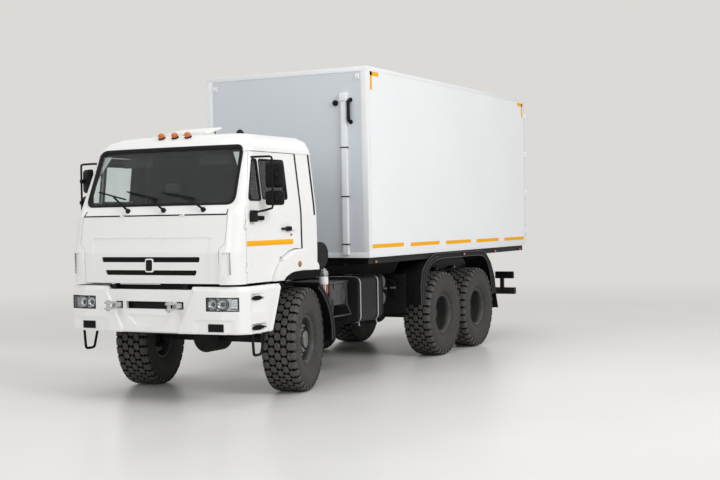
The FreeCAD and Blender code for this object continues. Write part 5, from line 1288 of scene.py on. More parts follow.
# %% Front wall
wall_trim, wall_dark = Form(), Form()
x = FRONT
wall_trim.block(x - 0.002, 0.8795, 1.568, x + 0.0425, 0.9605, 3.602, 0.012, steps=3)
wall_trim.block(x - 0.001, 0.862, 3.585, x + 0.052, 0.978, 3.695, 0.010, steps=3)
wall_trim.block(x + 0.050, 0.872, 3.595, x + 0.0555, 0.968, 3.685, 0.0025)
for z in (2.336, 1.708, 2.98):
    wall_dark.block(x - 0.001, 0.870, z - 0.008, x + 0.0455, 0.970, z + 0.008, 0.003)
    for y in (0.876, 0.964):
        hexagon(wall_dark, (0, 0, 0), 0.007, 0.006, outward(at(x + 0.045, y, z), (1, 0, 0)))
for y, z in ((1.112, 3.90), (-1.112, 3.86)):
    wall_trim.block(x, y - 0.030, z - 0.035, x + 0.006, y + 0.030, z + 0.035, 0.0025)
    wall_trim.hose(0.006, 10, *[(x + out, y, z + rise) for out, rise in
                                ((0.004, 0.014), (0.028, 0.016), (0.040, 0.004), (0.038, -0.016), (0.026, -0.024))])
for y in (-0.42, 0.42):
    wall_trim.block(x, y - 0.022, LOW + 0.085, x + 0.005, y + 0.022, LOW + 0.150, 0.002)
wall_dark.lathe([(0, 0), (0.040, 0.0), (0.040, 0.012), (0.036, 0.018), (0.034, 0.030), (0.028, 0.038), (0.016, 0.042),
                 (0, 0.043)], 28, outward(at(x, 0.786, 3.569), (1, 0, 0)))
wall_dark.hose(0.0205, 14, *[(x + out, 1.000, z) for out, z in
                             ((0.004, 3.595), (0.030, 3.593), (0.046, 3.570), (0.048, 3.450), (0.046, 3.345),
                              (0.030, 3.322), (0.004, 3.320))])
for z in (3.600, 3.310):
    wall_dark.lathe([(0, 0), (0.030, 0), (0.028, 0.010), (0.0, 0.010)], 20, outward(at(x, 1.010, z), (1, 0, 0)))
wall_trim.done("wall_channel", trim_white, sharp=32.0)
wall_dark.done("wall_lamp_and_loop", black_plastic)
print("front wall fittings ready")

# %% [markdown]
# ## Rear doors
# The photograph doesn't show the rear. Container doors of this kind are closed by lock rods with
# cam ends, turned by folded handles in keepers, and sealed by a black rubber all round. The CAD
# leaves already carry rods and hinges, so we add what a stranger would look for: seals, handles, cams.

# %% Door hardware
BACK = -7.575
LEAF = Matrix.Translation(at(BACK, 0, 0)) @ Matrix(((0, 0, -1), (1, 0, 0), (0, 1, 0))).to_4x4()
for hand, side, flip in SIDES:
    seal, steel = Form(), Form()
    path = [at(BACK - 0.001, y, z) for y, z in dense(oblong((0.010, 1.560), (1.232, 4.000), 0.02, 3), 0.4)]
    seal.sweep(path, [(-0.011, 0), (-0.008, 0.005), (0.008, 0.005), (0.011, 0)], [REARWARD] * len(path), True, flip)
    for low, high in ((1.70, 2.28), (2.32, 2.92), (2.96, 3.88)):
        steel.plate(oblong((0.205, low), (0.745, high), 0.03, 4), 0.0, 0.0035, flip @ LEAF, 0.003)
    # each lock rod has a cam at both ends, a collar, a folded handle and its keeper
    for y, way, z in ((0.120, 1, 2.42), (0.830, -1, 2.55)):
        for end in (1.568, 3.982):
            steel.block(BACK - 0.031, y - 0.026, end - 0.012, BACK - 0.008, y + 0.026, end + 0.012, 0.005, flip)
            steel.block(BACK - 0.0325, y - 0.008, end - 0.020, BACK - 0.012, y + 0.030, end + 0.004, 0.004, flip)
        steel.lathe([(0.0138, -0.03), (0.0185, -0.028), (0.0185, 0.028), (0.0138, 0.03)], 16,
                    flip @ turned("X", 90, at(BACK - 0.020, y, z)))
        steel.sweep([at(BACK - 0.026, y, z), at(BACK - 0.0325, y + way * 0.06, z + 0.002),
                     at(BACK - 0.0325, y + way * 0.36, z - 0.004), at(BACK - 0.0325, y + way * 0.44, z - 0.010)],
                    [(-0.014, -0.003), (-0.012, 0.003), (0.012, 0.003), (0.014, -0.003)], [REARWARD] * 4, matrix=flip)
        hold = y + way * 0.33
        steel.blocks(0.003, flip, (BACK - 0.029, hold - 0.03, z - 0.030, BACK, hold + 0.03, z - 0.018),
                     (BACK - 0.033, hold - 0.012, z - 0.030, BACK - 0.026, hold + 0.012, z + 0.030))
    seal.done("door_gasket_" + hand, seal_rubber, "load_door_" + hand, 50.0)
    steel.done("door_locks_" + hand, galvanised, "load_door_" + hand)
print("door leaves", len(SIDES))

# %% [markdown]
# Each tail lamp is a black body with an amber, a red and a clear lens side by side, and a round red
# reflector sits higher on the box. Blocks with well rounded edges pass for moulded lenses.

# %% Tail lamps
tails, reds, ambers, whites = Form(), Form(), Form(), Form()
for hand, side, flip in SIDES:
    tails.block(-7.388, 0.760, 0.960, -7.3305, 1.090, 1.080, 0.010, flip, 3)
    for form, low, high in ((ambers, 0.985, 1.078), (reds, 0.872, 0.978), (whites, 0.772, 0.865)):
        form.block(-7.4003, low, 0.972, -7.384, high, 1.068, 0.006, flip, 3)
    reds.lathe([(0, 0.0), (0.036, 0.0), (0.036, 0.004), (0.030, 0.007), (0, 0.008)], 24,
               flip @ outward(at(-7.5771, 1.10, 1.62), REARWARD))
tails.done("tail_lamp_bodies", black_plastic)
ambers.done("tail_lamp_amber", orange_lens)
reds.done("tail_lamp_red", red_lens)
whites.done("tail_lamp_clear", clear_lens)
print("tail lamps", len(SIDES))

# %% [markdown]
# ## Side markers
# Small lamps follow the side: amber ones under the box's edge, a red one on the rear mudguard's lip,
# and a round amber one on each front wheel arch. Each is a black foot with a domed lens.

# %% Side markers
arch_skin = Skin("cab_sides")
feet, ambers, reds, arch_lamps, arch_feet, shade_liner, nose = [Form() for _ in range(7)]
MARKERS = ((-1.896, 1.2103, ambers), (-4.865, 1.2253, ambers), (-6.200, 1.2103, ambers), (-7.334, 1.2103, reds))
ARCH = [(0.120 + 0.601 * math.cos(a), 1.100 + 0.601 * math.sin(a)) for a in arc(9, 24.3, 50.7)]
for hand, side, flip in SIDES:
    for x, foot, lens_form in MARKERS:
        feet.block(x - 0.002, foot, 1.4515, x + 0.062, foot + 0.007, 1.4885, 0.003, flip)
        lens_form.block(x + 0.003, foot + 0.006, 1.4555, x + 0.057, foot + 0.0215, 1.4845, 0.007, flip, 4)
    view = outward(*arch_skin.hit(at(0.149, 3 * side, 1.524), (0, -side, 0)))
    arch_feet.lathe([(0, -0.001), (0.034, -0.001), (0.034, 0.005), (0.031, 0.008), (0, 0.008)], 28, view)
    arch_lamps.lathe([(0.029, 0.007), (0.028, 0.012), (0.022, 0.017), (0.012, 0.0195), (0, 0.020)], 28, view)
    view = flip @ HUB @ UPRIGHT
    # near-black sheets inside the front wheel arch: painted shade for the shadow in the arch
    shade_liner.plate([(-0.335, 1.350), (0.480, 1.350), (0.440, 1.400), (0.380, 1.440), (0.300, 1.470), (-0.100, 1.470),
                 (-0.335, 1.470)], 1.140, 1.146, view)
    shade_liner.plate([(-0.334, 1.347), (0.507, 1.347), (0.461, 1.387), (0.420, 1.404), (0.370, 1.421), (0.300, 1.437),
                 (0.233, 1.444), (0.0, 1.445), (-0.334, 1.441)], 1.2392, 1.2425, view, 0.001)
    nose.plate([(0.430, 1.347)] + ARCH + [(0.430, 1.6110)], 1.120, 1.2385, view, 0.022)
nose.done("arch_nose", cab_white, "cab")
shade_liner.done("arch_liner", groove_rubber, "cab")
feet.done("marker_feet", black_plastic)
ambers.done("marker_amber", orange_lens)
reds.done("marker_red", red_lens)
arch_feet.done("arch_marker_feet", black_plastic, "cab")
arch_lamps.done("arch_marker_lens", orange_lens, "cab")
print("markers", 2 * len(MARKERS) + 2)

# %% [markdown]
# ## Between cab and box
# A big air-intake drum lies across the frame behind the cab, with the air dryer's canister below it. The
# battery box and the fuel tank follow. These are turned or pressed shapes with seams, bands and
# caps, and those seams are what tells a drum from a plain cylinder.

# %% Air intake and dryer
intake, can_white, can_red, can_steel = [Form() for _ in range(4)]
drum = at(-0.660, 0, 1.600)
intake.lathe([(0, 0.541), (0.120, 0.541), (0.150, 0.546), (0.163, 0.560), (0.1645, 0.580), (0.1645, 0.770),
              (0.1665, 0.773), (0.1665, 0.783), (0.1645, 0.786), (0.1645, 0.985), (0.1690, 0.989), (0.1700, 0.996),
              (0.1690, 1.003), (0.1645, 1.007), (0.1640, 1.062), (0.160, 1.080), (0.150, 1.090), (0.128, 1.0955),
              (0.120, 1.0915), (0.085, 1.0915), (0.078, 1.097), (0.0, 1.0985)], 64, Matrix.Translation(drum))
for k in range(4):
    intake.slab((0.1625, 0.972, -0.013), (0.1755, 1.020, 0.013), 0.003, turned("Y", 45 + 90 * k, drum))
intake.blocks(0.006, None, (-0.690, 0.3430, 1.1803, -0.630, 0.4320, 1.452),
              (-0.690, 0.3430, 1.4300, -0.630, 0.8420, 1.4490))
intake.hose(0.058, 20, (-0.66, 0.56, 1.60), (-0.66, 0.50, 1.60), (-0.64, 0.45, 1.58), (-0.60, 0.42, 1.52),
            (-0.56, 0.40, 1.40), (-0.54, 0.39, 1.28))
for k in range(7):
    intake.lathe([(0.058, -0.005), (0.063, 0.0), (0.058, 0.005)], 20,
                 outward(at(-0.56 + 0.02 * k / 6, 0.40 - 0.01 * k / 6, 1.40 - 0.10 * k / 6), (0.15, -0.1, -1)))
intake.done("air_intake", chassis_black, sharp=32.0, replaces="air_cleaner")
up = turned("X", 90, at(-0.745, 1.055, 0))
can_white.lathe([(0.0, 1.232), (0.056, 1.232), (0.0565, 1.236), (0.0565, 1.318), (0.052, 1.328), (0, 1.328)], 32, up)
can_red.lathe([(0, 1.118), (0.046, 1.118), (0.052, 1.124), (0.0545, 1.135), (0.0545, 1.233)], 32, up)
can_steel.lathe([(0, 1.327), (0.040, 1.327), (0.042, 1.350), (0.0555, 1.354), (0.0555, 1.392), (0.046, 1.402),
                 (0.030, 1.404), (0.028, 1.424), (0.018, 1.434), (0, 1.435)], 32, up)
can_steel.block(-0.800, 1.020, 1.340, -0.690, 1.095, 1.372, 0.008)
can_steel.block(-0.765, 0.4328, 1.130, -0.725, 1.010, 1.170, 0.004)
can_white.block(-0.700, 1.078, 1.126, -0.6885, 1.112, 1.226, 0.003)
for k, (x, y) in enumerate(((-0.775, 1.045), (-0.715, 1.045), (-0.745, 1.085))):
    can_steel.hose(0.0075, 10, (x, y, 1.395), (x, y, 1.42), (x - 0.01, y - 0.04, 1.445 - 0.01 * k),
                   (x - 0.04, y - 0.16, 1.43), (x - 0.08, y - 0.34, 1.36), (x - 0.10, 0.46, 1.24))
can_white.done("dryer_collar", trim_white, slot="")
can_red.done("dryer_cartridge", red_lens)
can_steel.done("dryer_head", galvanised)
print("intake and dryer ready")

# %% [markdown]
# The battery box is a moulded case with a lid that overhangs it, held in a cradle of bent rod. A rubber
# flap hangs behind the tank. Small raised bars on the lid and the side break up the large faces.

# %% Battery box
battery, brace = Form(), Form()
battery.block(-1.3265, 0.522, 0.951, -0.8535, 1.079, 1.2215, 0.014, steps=3)
battery.block(-1.3355, 0.5145, 1.2205, -0.8445, 1.0855, 1.2545, 0.010, steps=3)
for y in (0.66, 0.80, 0.94):
    battery.block(-1.31, y - 0.02, 1.250, -0.87, y + 0.02, 1.2575, 0.003)
for x in (-1.22, -0.96):
    battery.block(x - 0.018, 1.078, 1.16, x + 0.018, 1.0895, 1.245, 0.003)
for x in (-1.25, -1.09, -0.93):
    battery.block(x - 0.05, 1.077, 0.985, x + 0.05, 1.0815, 1.14, 0.003)
battery.block(-1.24, 0.4328, 1.000, -0.94, 0.524, 1.060, 0.004)
battery.done("battery_case", wheel_grey, sharp=32.0, replaces="battery_box")
for x in (-1.27, -0.91):
    brace.hose(0.009, 8, (x, 0.445, 0.94), (x, 0.50, 0.935), (x, 1.02, 0.935), (x, 1.084, 0.945), (x, 1.0935, 0.97),
               (x, 1.0935, 1.03))
brace.hose(0.009, 8, (-0.86, 1.10, 0.815), (-1.37, 1.10, 0.815))
brace.hose(0.009, 8, (-1.27, 1.093, 0.955), (-1.37, 1.10, 0.815))
brace.hose(0.009, 8, (-0.91, 1.093, 0.955), (-0.86, 1.10, 0.815))
brace.done("battery_cradle", wheel_grey)
flap = Form().blocks(0.003, None, (-2.986, 0.4340, 0.700, -2.978, 1.120, 1.250),
                     (-2.990, 0.4335, 1.120, -2.972, 1.100, 1.160))
flap.done("splash_flap", black_plastic)


print("battery box ready")

# %% [markdown]
# The tank's ends are rolled onto its shell, which leaves a bead; two steel bands hold it to its
# brackets. The beads and bands follow the same rounded section, a little larger or smaller.

# %% Trim of the fuel tank
def around_tank(x, grow, corner):
    """Points round the tank's section at a place along the truck."""
    return [at(x, y, z) for y, z in oblong((0.640 - grow, 0.700 - grow), (1.190 + grow, 1.285 + grow), corner, 8)]


bead, bands = Form(), Form()
for x in (-1.3935, -2.1065):
    bead.bar(around_tank(x, 0.0015, 0.090), 0.0065, 8, closed=True)
for x, out in ((-1.3905, 1), (-2.1095, -1)):
    path = around_tank(x, -0.028, 0.070)
    bead.sweep(path, [(-0.006, -0.001), (-0.004, 0.003), (0.004, 0.003), (0.006, -0.001)],
               [(out, 0, 0)] * len(path), True)
cap = turned("X", 90, at(-1.503, 1.000, 1.281))
bead.lathe([(0.047, -0.002), (0.049, 0.0), (0.049, 0.028), (0.045, 0.037), (0.030, 0.0405), (0, 0.041)], 28, cap)
for k in range(8):
    bead.slab((0.044, 0.004, -0.006), (0.0515, 0.034, 0.006), 0.002, cap @ turned("Y", 45 * k))
bead.done("tank_beads_and_cap", chassis_black)
for x in (-1.460, -1.960):
    path = around_tank(x, 0.0065, 0.097)
    outs = [(path[(i + 1) % len(path)] - path[i - 1]).normalized().cross((1, 0, 0)) for i in range(len(path))]
    outs = [out if out.dot(spot - at(x, 0.915, 0.9925)) > 0 else -out for out, spot in zip(outs, path)]
    bands.sweep(path, [(-0.011, 0.0), (-0.010, 0.002), (0.010, 0.002), (0.011, 0.0)], outs, True)
    bands.hose(0.006, 8, (x, 1.165, 0.700), (x, 1.172, 0.655))
    hexagon(bands, (0, 0, 0), 0.011, 0.010, outward(at(x, 1.170, 0.667), (0, 0, -1), (1, 0, 0)))
bands.done("tank_bands", bright_steel)
print("the tank's section has", len(around_tank(0, 0, 0.09)), "points")

# %% [markdown]
# Compressed air for the brakes waits in two reservoirs, one above the other. They are turned forms
# with domed ends, a weld bead near each end, two straps, and a drain at the bottom.

# %% Air reservoirs
LEVELS = (0.960, 1.175)
tanks = Form()
for z in LEVELS:
    axis = Matrix.Translation(at(-2.300, 0, z))
    tanks.lathe([(0, 0.5605), (0.050, 0.562), (0.085, 0.572), (0.101, 0.590), (0.1045, 0.605), (0.1045, 1.058),
                 (0.101, 1.074), (0.085, 1.096), (0.052, 1.1135), (0.020, 1.119), (0, 1.1198)], 40, axis)
    for y in (0.608, 1.052):
        tanks.lathe([(0.1040, y - 0.004), (0.1062, y), (0.1040, y + 0.004)], 40, axis)
    for y in (0.70, 0.96):
        tanks.lathe([(0.1043, y - 0.016), (0.1065, y - 0.015), (0.1065, y + 0.015), (0.1043, y + 0.016)], 40, axis)
    tanks.lathe([(0, -0.022), (0.009, -0.022), (0.011, -0.012), (0.011, 0.002)], 12,
                turned("X", 90, at(-2.300, 0.84, z - 0.102)))
tanks.block(-2.306, 0.4328, 0.860, -2.294, 0.562, 1.280, 0.003)
tanks.done("air_reservoirs", wheel_grey, replaces="air_tanks")
print("air reservoirs", len(LEVELS))

# %% [markdown]
# ## Mudguard edges, lines and hoses
# The guards' plastic edges are rolled into a bead, and that bead is what shows against the dark; it
# wears the paler, glossier wheel grey instead of black plastic, a painted highlight along the edge. Air
# lines and cables hang from the frame in loose bundles, fixed by clips; each is a smooth bar
# through a few points, sagging between its clips.

# %% Mudguard beads
# both edges are in millimetres from the tandem's middle and down from the box's floor
MIDDLE = -4.760
GUARD_RIM = ((1482, 735), (1497, 461), (1437, 246), (1274, 122), (1120, 55), (1002, 25), (860, 18), (-840, 30),
             (-940, 52), (-1036, 104), (-1197, 233), (-1300, 380), (-1356, 477), (-1414, 742))
GUARD_LIP = ((-1275, 742), (-1217, 569), (-1158, 367), (-1032, 190), (-904, 123), (-710, 98), (699, 94), (923, 106),
             (1143, 182), (1254, 288), (1339, 426), (1370, 735))


def smooth(points, parts=4):
    """More points on a smooth curve through the given ones."""
    points = [Vector(p) for p in points]
    made = []
    for a, b, c, d in zip(points[:1] + points, points, points[1:], points[2:] + points[-1:]):
        for k in range(parts):
            t = k / parts
            made.append(0.5 * (2 * b + (c - a) * t + (2 * a - 5 * b + 4 * c - d) * t ** 2
                               + (3 * b - a - 3 * c + d) * t ** 3))
    return made + [points[-1]]


beads, flaps = Form(), Form()
for hand, side, flip in SIDES:
    for line, radius in ((GUARD_RIM, 0.0065), (GUARD_LIP, 0.0055)):
        beads.hose(radius, 8, *[(MIDDLE + x / 1000, 1.2225, LOW - drop / 1000) for x, drop in line], matrix=flip)
    beads.hose(0.0045, 8, *[(MIDDLE + (a[0] + b[0]) / 2000, 1.2245, LOW - (a[1] + b[1]) / 2000)
                            for a, b in zip(GUARD_RIM[:6], GUARD_LIP[::-1])], matrix=flip)
    for radius in (0.765, 0.704):
        beads.hose(0.006, 8, *[(radius * math.cos(a), 1.1865, 0.617 + radius * math.sin(a))
                               for a in arc(25, 122, 186)], matrix=flip)
    flaps.block(-6.2625, 0.79, 0.5440, -6.2555, 1.222, 0.560, 0.002, flip)
    flaps.block(MIDDLE + 1.486, 0.788, 0.797, MIDDLE + 1.498, 1.224, 0.815, 0.003, flip)
    for y in (0.86, 0.95, 1.04, 1.13):
        flaps.hose(0.006, 8, (MIDDLE + 1.4835, y, 0.84), (MIDDLE + 1.4965, y, 1.03), (MIDDLE + 1.470, y, 1.16),
                   matrix=flip)
# paler wheel grey on the black plastic beads: painted highlight along the guards' edges
beads.done("mudguard_beads", wheel_grey, slot="black_plastic")
flaps.done("mudguard_ribs", black_plastic)
print("mudguard beads ready")

# %% [markdown]
# Four long lines follow the frame and sag between their clips, and five loops hang by the mudguard. A
# smooth curve through a few points is enough, because a hose has no corners.

# %% Air lines and cables
# the long lines as (y, z, sag), then the loops by the mudguard as (x, y, lowest z)
LONG = ((0.455, 1.205, 0.03), (0.470, 1.222, 0.05), (0.485, 1.198, 0.02), (0.500, 1.214, 0.06))
LOOPS = ((-2.62, 0.80, 0.86), (-2.72, 0.88, 0.92), (-2.84, 0.74, 0.83), (-2.93, 0.92, 0.95), (-3.04, 0.83, 0.90))
lines, clips = Form(), Form()
for k, (y, z, sag) in enumerate(LONG):
    spots = [at(-0.55 - 0.35 * i, y + 0.004 * (i % 2), z - sag * (i % 2)) for i in range(20)]
    lines.bar(smooth(spots, 3), 0.0075 if k % 2 else 0.0095, 8)
for i in range(2, 20, 2):
    x = -0.55 - 0.35 * i
    clips.block(x - 0.012, 0.4328, 1.186, x + 0.012, 0.512, 1.236, 0.006)
for k, (x, y, low) in enumerate(LOOPS):
    spots = [(x + 0.10, 0.47, 1.21), (x + 0.05, 0.58, 1.24), (x, y, 1.16), (x - 0.01, y + 0.05, (1.16 + low) / 2),
             (x - 0.04, y + 0.03, low), (x - 0.12, y - 0.08, low - 0.03), (x - 0.22, 0.62, low + 0.04),
             (x - 0.26, 0.46, low + 0.16)]
    lines.bar(smooth([at(*spot) for spot in spots], 4), 0.010 if k % 2 else 0.0075, 8)
    clips.block(x - 0.018, y - 0.018, 1.05, x + 0.012, y + 0.062, 1.075, 0.005)
lines.done("air_lines", seal_rubber, sharp=50.0)
clips.done("line_clips", galvanised)
print("air lines", len(LONG) + len(LOOPS))

# %% [markdown]
# ## Cab interior
# Seats are padded: a foam block pushes a sewn cover outwards until its seams hold it. We let Blender's
# cloth do that: each pad starts a little small, is blown up by pressure, and is kept within a cap.
# Seams and sewn channels are pressed in afterwards, because remeshing would wipe them out.

# %% Seat fabric
def seat_fabric():
    """A woven cover: two crossed waves of threads, paler where it is worn."""
    f = Finish("seat_fabric", Sheen_Weight=0.3)
    threads = {"Vector": f.place(), "Scale": 130.0, "Distortion": 0.6}
    across, up_down = [f.node("ShaderNodeTexWave", {"bands_direction": way}, threads) for way in "YZ"]
    weave = across * up_down
    wear = f.ramp(f.noise(5.0, 4.0), 0.35, 0.7)
    dark = f.blend(wear, (0.022, 0.024, 0.028), (0.034, 0.036, 0.040))
    f.feed("Base Color", f.blend(weave, dark, (0.060, 0.063, 0.070)))
    f.feed("Roughness", 0.86 + 0.1 * wear)
    f.bump(weave, 0.0012, 0.6)
    return f.material


fabric = seat_fabric()
print("made", fabric.name)

# %% [markdown]
# A voxel remesh gives the block an even net of faces, which the cloth needs. The blown shape is capped
# point by point, so that no cushion grows past its shell.

# %% Pads
def evaluated(source):
    """The mesh that an object shows with its modifiers, as new mesh data."""
    graph = bpy.context.evaluated_depsgraph_get()
    return bpy.data.meshes.new_from_object(source.evaluated_get(graph))


def pad_mesh(name, low, high, channels, cap=0.022, voxel=0.009):
    """A stuffed pad between two corners; channels are (axis, place) lines sewn into its top."""
    worker = link(name + "_worker", Form().slab(low, high, 0.038, steps=4).mesh(name))
    remesh = worker.modifiers.new("remesh", "REMESH")
    remesh.mode, remesh.voxel_size = "VOXEL", voxel
    start = evaluated(worker)
    worker.modifiers.clear()
    worker.data = start
    cloth = worker.modifiers.new("cloth", "CLOTH").settings
    cloth.use_pressure, cloth.uniform_pressure_force = True, 4.0
    cloth.effector_weights.gravity = 0.0
    for frame_number in range(1, 21):
        bpy.context.scene.frame_set(frame_number)
    blown = evaluated(worker)
    worker.modifiers.clear()
    for before, after in zip(start.vertices, blown.vertices):
        move = after.co - before.co
        before.co += move * min(1.0, cap / max(move.length, 1e-9))
    bpy.context.scene.frame_set(1)
    worker.modifiers.new("subdivide", "SUBSURF").levels = 1
    final = evaluated(worker)
    for v, normal in [(v, v.normal.copy()) for v in final.vertices]:
        for axis, place in channels:
            v.co -= normal * 0.011 * max(0.0, normal.z) * math.exp(-((v.co[axis] - place) / 0.009) ** 2)
        seam = (low[2] + high[2]) / 2 + 0.02
        v.co -= normal * 0.004 * (1 - abs(normal.z)) * math.exp(-((v.co.z - seam) / 0.006) ** 2)
        v.co.z = max(v.co.z, low[2] + 0.002)
    bpy.data.objects.remove(worker)
    return final


squab = pad_mesh("squab", (-0.185, -0.205, -0.045), (0.185, 0.205, 0.045),
                 [(1, -0.135), (1, 0.135), (0, -0.06), (0, 0.06)])
backrest = pad_mesh("backrest", (-0.250, -0.200, -0.035), (0.250, 0.200, 0.035),
                    [(1, -0.135), (1, 0.135), (0, -0.13), (0, 0.0), (0, 0.13)])
headrest = pad_mesh("headrest", (-0.052, -0.110, -0.026), (0.052, 0.110, 0.026), [], 0.012)
print("seat covers", len(squab.polygons), len(backrest.polygons), len(headrest.polygons))

# %% [markdown]
# Both seats stand on a bellows over a flat foot, as truck seats do. The three pads of each are copies
# of the same meshes, leaned and moved to their places.

# %% Seats
# each pad with its place behind the wheel and the way it leans
PADS = (("squab", squab, 0.435, 1.712, -6), ("backrest", backrest, 0.150, 2.045, 81),
        ("headrest", headrest, 0.118, 2.465, 86))
for hand, y in (("left", 0.580), ("right", -0.580)):
    base = Form()
    base.block(0.175, y - 0.170, 1.3953, 0.540, y + 0.170, 1.430, 0.010)
    for k in range(5):
        base.block(0.215, y - 0.145, 1.430 + 0.034 * k, 0.500, y + 0.145, 1.461 + 0.034 * k, 0.013)
    base.block(0.165, y - 0.215, 1.598, 0.585, y + 0.215, 1.655, 0.020, steps=3)
    for edge in (y - 0.225, y + 0.225):
        base.hose(0.013, 10, (0.16, edge, 1.640), (0.10, edge, 1.745), (0.08, edge, 1.79))
    base.slab((-0.026, -0.185, -0.268), (0.004, 0.185, 0.268), 0.012, turned("Y", -9, at(0.098, y, 2.045)))
    for edge in (y - 0.055, y + 0.055):
        base.hose(0.006, 8, (0.085, edge, 2.30), (0.087, edge, 2.44))
    base.done("seat_base_" + hand, black_plastic, "cab")
    for name, pad, x, z, tilt in PADS:
        mesh = pad.copy()
        mesh.transform(turned("Y", tilt, at(x, y, z)))
        piece = dress("seat_%s_%s" % (name, hand), mesh, fabric, "cab", 70.0,
                      "seats" if (name, hand) == ("squab", "left") else "")
print("pads of each seat:", len(PADS))

# %% [markdown]
# The steering wheel's rim gets a padded hub on three broad spokes; the dashboard gets its hood, a row
# of vents and three dials. Through tinted glass only their outlines read, so the forms stay few.

# %% Steering wheel, dashboard and visors
wheel = Form()
centre = turned("Y", -50, at(0.640, 0.580, 2.120))
for k in range(3):
    wheel.slab((0.045, -0.020, -0.016), (0.226, 0.020, 0.016), 0.007, centre @ turned("Z", 90 + 120 * k))
wheel.lathe([(0, -0.045), (0.060, -0.045), (0.072, -0.030), (0.070, -0.008), (0.050, 0.006), (0, 0.010)], 32,
            centre @ QUARTER)
wheel.bar([centre @ Vector((0, 0, -0.04)), centre @ Vector((0, 0, -0.22))], 0.036, 16)
wheel.done("steering_hub", black_plastic, "cab", 40.0)
dash, dials = Form(), Form()
for y in (-0.92, -0.55, -0.18, 0.18, 0.98):
    dash.block(0.955, y - 0.055, 2.192, 1.045, y + 0.055, 2.2045, 0.004)
dash.block(0.856, 0.330, 2.085, 1.010, 0.830, 2.205, 0.020, steps=3)
for y, radius in ((0.47, 0.044), (0.58, 0.034), (0.69, 0.044)):
    dials.lathe([(radius - 0.004, -0.003), (radius, 0.0), (radius - 0.006, 0.003)], 28,
                outward(at(0.8545, y, 2.145), REARWARD))
for k in range(6):
    dash.block(0.858, -0.20 + 0.07 * k, 1.93, 0.866, -0.15 + 0.07 * k, 1.96, 0.003)
for y in (0.55, -0.55):
    dash.block(0.840, y - 0.22, 2.690, 0.852, y + 0.22, 2.800, 0.005)
dash.done("dashboard_fittings", dash_plastic, "cab")
dials.done("dial_rings", galvanised, "cab")
print("interior ready")

# %% [markdown]
# The inside of the cab is lined in near-black, which is painted shade: it keeps the glass dark from outside. We copy
# the faces of each cab piece that look towards the seats, and lift them three millimetres off the painted metal.

# %% Lining
LINED = ("cab_roof", "cab_back_wall", "cab_sides", "cab_front", "cab_floor", "door_left", "door_right")
middle = at(0.55, 0, 2.15)
lined = 0
cab_skin = Skin(*LINED)


def hidden(face):
    """True for a face that looks away from the seats, or that another panel covers."""
    spot, way = face.calc_center_median(), middle - face.calc_center_median()
    if face.normal.dot(way.normalized()) < 0.12 or spot.z < 1.40 or spot.x > AXLE + 1.25:
        return True
    struck = cab_skin.hit(spot + face.normal * 0.004, way.normalized())[0]
    return struck is not None and (struck - spot).length < way.length * 0.6


for name in LINED:
    kept = bmesh.new()
    kept.from_mesh(frame["nodes"][name].data)
    bmesh.ops.delete(kept, geom=[f for f in kept.faces if hidden(f)], context="FACES")
    bmesh.ops.remove_doubles(kept, verts=kept.verts, dist=0.0001)
    for v, normal in [(v, v.normal.copy()) for v in kept.verts]:
        v.co += normal * 0.003
    if kept.faces:
        mesh = bpy.data.meshes.new("lining_" + name)
        kept.to_mesh(mesh)
        dress("lining_" + name, mesh, lining_grey, "cab_" + name if name.startswith("door") else "cab", 30.0)
        lined += 1
    kept.free()
print("lined pieces", lined)

# %% [markdown]
# ## Studio
# The photograph has a pale seamless floor and broad soft light from above on the driver's side.
# The floor's colour sets the background, seen only by camera, glossy and transmission rays, so no
# extra light falls on the truck.

# %% Floor
BACKDROP = (0.71, 0.70, 0.675, 1)
REACH = 90


def wired(tree, kind, *inputs, **settings):
    """The first output of a new node whose first inputs are given as sockets or values."""
    node = tree.nodes.new(kind)
    for key, value in settings.items():
        setattr(node, key, value)
    for socket, value in zip(node.inputs, inputs):
        if isinstance(value, bpy.types.NodeSocket):
            tree.links.new(value, socket)
        else:
            socket.default_value = value
    return node.outputs[0]


def rays(tree):
    """What tells camera, glossy and transmission rays."""
    path = tree.nodes.new("ShaderNodeLightPath")
    return [path.outputs[name] for name in ("Is Camera Ray", "Is Glossy Ray", "Is Transmission Ray")]


floor = Finish("studio_floor", Specular_IOR_Level=0.35)
floor.feed("Base Color", floor.blend(floor.ramp(floor.noise(0.35, 2.0), 0.3, 0.7), (0.70, 0.69, 0.67),
                                     (0.74, 0.73, 0.71)))
floor.feed("Roughness", 0.26 + 0.08 * floor.noise(1.5, 3.0))
far = floor.node("ShaderNodeVectorMath", {"operation": "LENGTH"}, {0: floor.place((1, 1, 0))}, out="Value")
fade = floor.node("ShaderNodeMapRange", {"interpolation_type": "SMOOTHSTEP"},
                  {"Value": far, "From Min": 4.5, "From Max": 22.0, "To Min": 0.0, "To Max": 1.0})
camera_ray, glossy_ray, clear_ray = [Wire(floor, socket) for socket in rays(floor.tree)]
glow = wired(floor.tree, "ShaderNodeEmission", BACKDROP)
share = fade * (camera_ray + glossy_ray + clear_ray)
joined = wired(floor.tree, "ShaderNodeMixShader", share.socket, floor.shader.outputs[0], glow)
floor.tree.links.new(joined, floor.tree.nodes["Material Output"].inputs[0])
mesh = bpy.data.meshes.new("studio_floor")
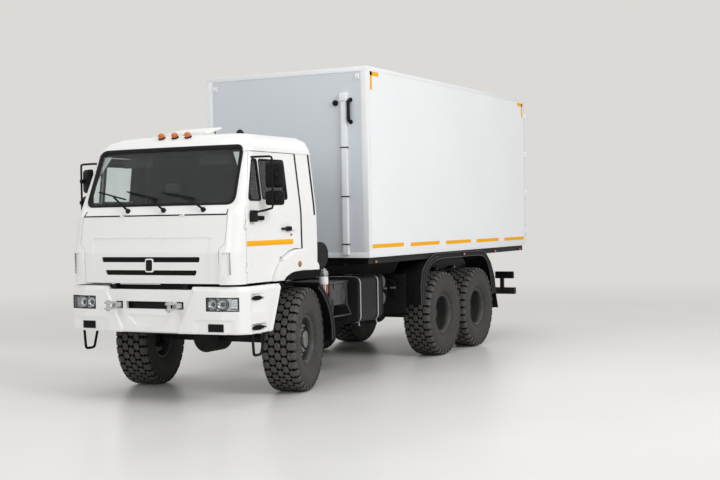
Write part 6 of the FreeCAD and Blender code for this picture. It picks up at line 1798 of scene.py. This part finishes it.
mesh.from_pydata([(-REACH, -REACH, 0), (REACH, -REACH, 0), (REACH, REACH, 0), (-REACH, REACH, 0)], [], [(0, 1, 2, 3)])
mesh.materials.append(floor.material)
ground = link("studio_floor", mesh)
ground.location.z = -0.002

print("floor made,", 2 * REACH, "m across")

# %% [markdown]
# The world lights the truck evenly with a faint blue. The camera sees the backdrop's colour in its
# place, and so do reflections, so that the floor fades into it without a horizon.

# %% World
world = bpy.data.worlds.new("studio")
world.use_nodes = True
SKY, SKY_STRENGTH = (0.97, 0.98, 1.0, 1), 0.60
bpy.context.scene.world = world
tree = world.node_tree
camera_ray, glossy_ray, clear_ray = rays(tree)
either = wired(tree, "ShaderNodeMath", camera_ray, clear_ray, operation="MAXIMUM")
either = wired(tree, "ShaderNodeMath", either, glossy_ray, operation="MAXIMUM")
light = tree.nodes["Background"]
light.inputs[0].default_value, light.inputs[1].default_value = SKY, SKY_STRENGTH
seen = wired(tree, "ShaderNodeBackground", BACKDROP, 1.0)
joined = wired(tree, "ShaderNodeMixShader", either, light.outputs[0], seen)
tree.links.new(joined, tree.nodes["World Output"].inputs[0])
print("world ready")

# %% [markdown]
# Three large square lamps do the rest: the key on the driver's side, a weaker one ahead, and one
# overhead. Large lamps give the soft shadow edges that a studio's diffusers give.

# %% Lamps
# three square lamps as (name, place, aim, size, watts)
LAMPS = (("key", (6, 14, 11), (1, 0, 1.5), 7, 1340), ("front", (17, 0, 7), (4, 0, 1.5), 7, 450),
         ("overhead", (0, 0, 13), (0, 0, 0), 10, 520))
for name, place, aim, size, watts in LAMPS:
    data = bpy.data.lights.new(name, "AREA")
    data.shape, data.size, data.energy = "SQUARE", size, watts
    lamp = link(name, data)
    lamp.location = place
    lamp.rotation_euler = (Vector(aim) - Vector(place)).to_track_quat("-Z", "Y").to_euler()
bpy.context.scene.view_settings.view_transform = "Standard"
print("lamps", len(LAMPS))

# %% [markdown]
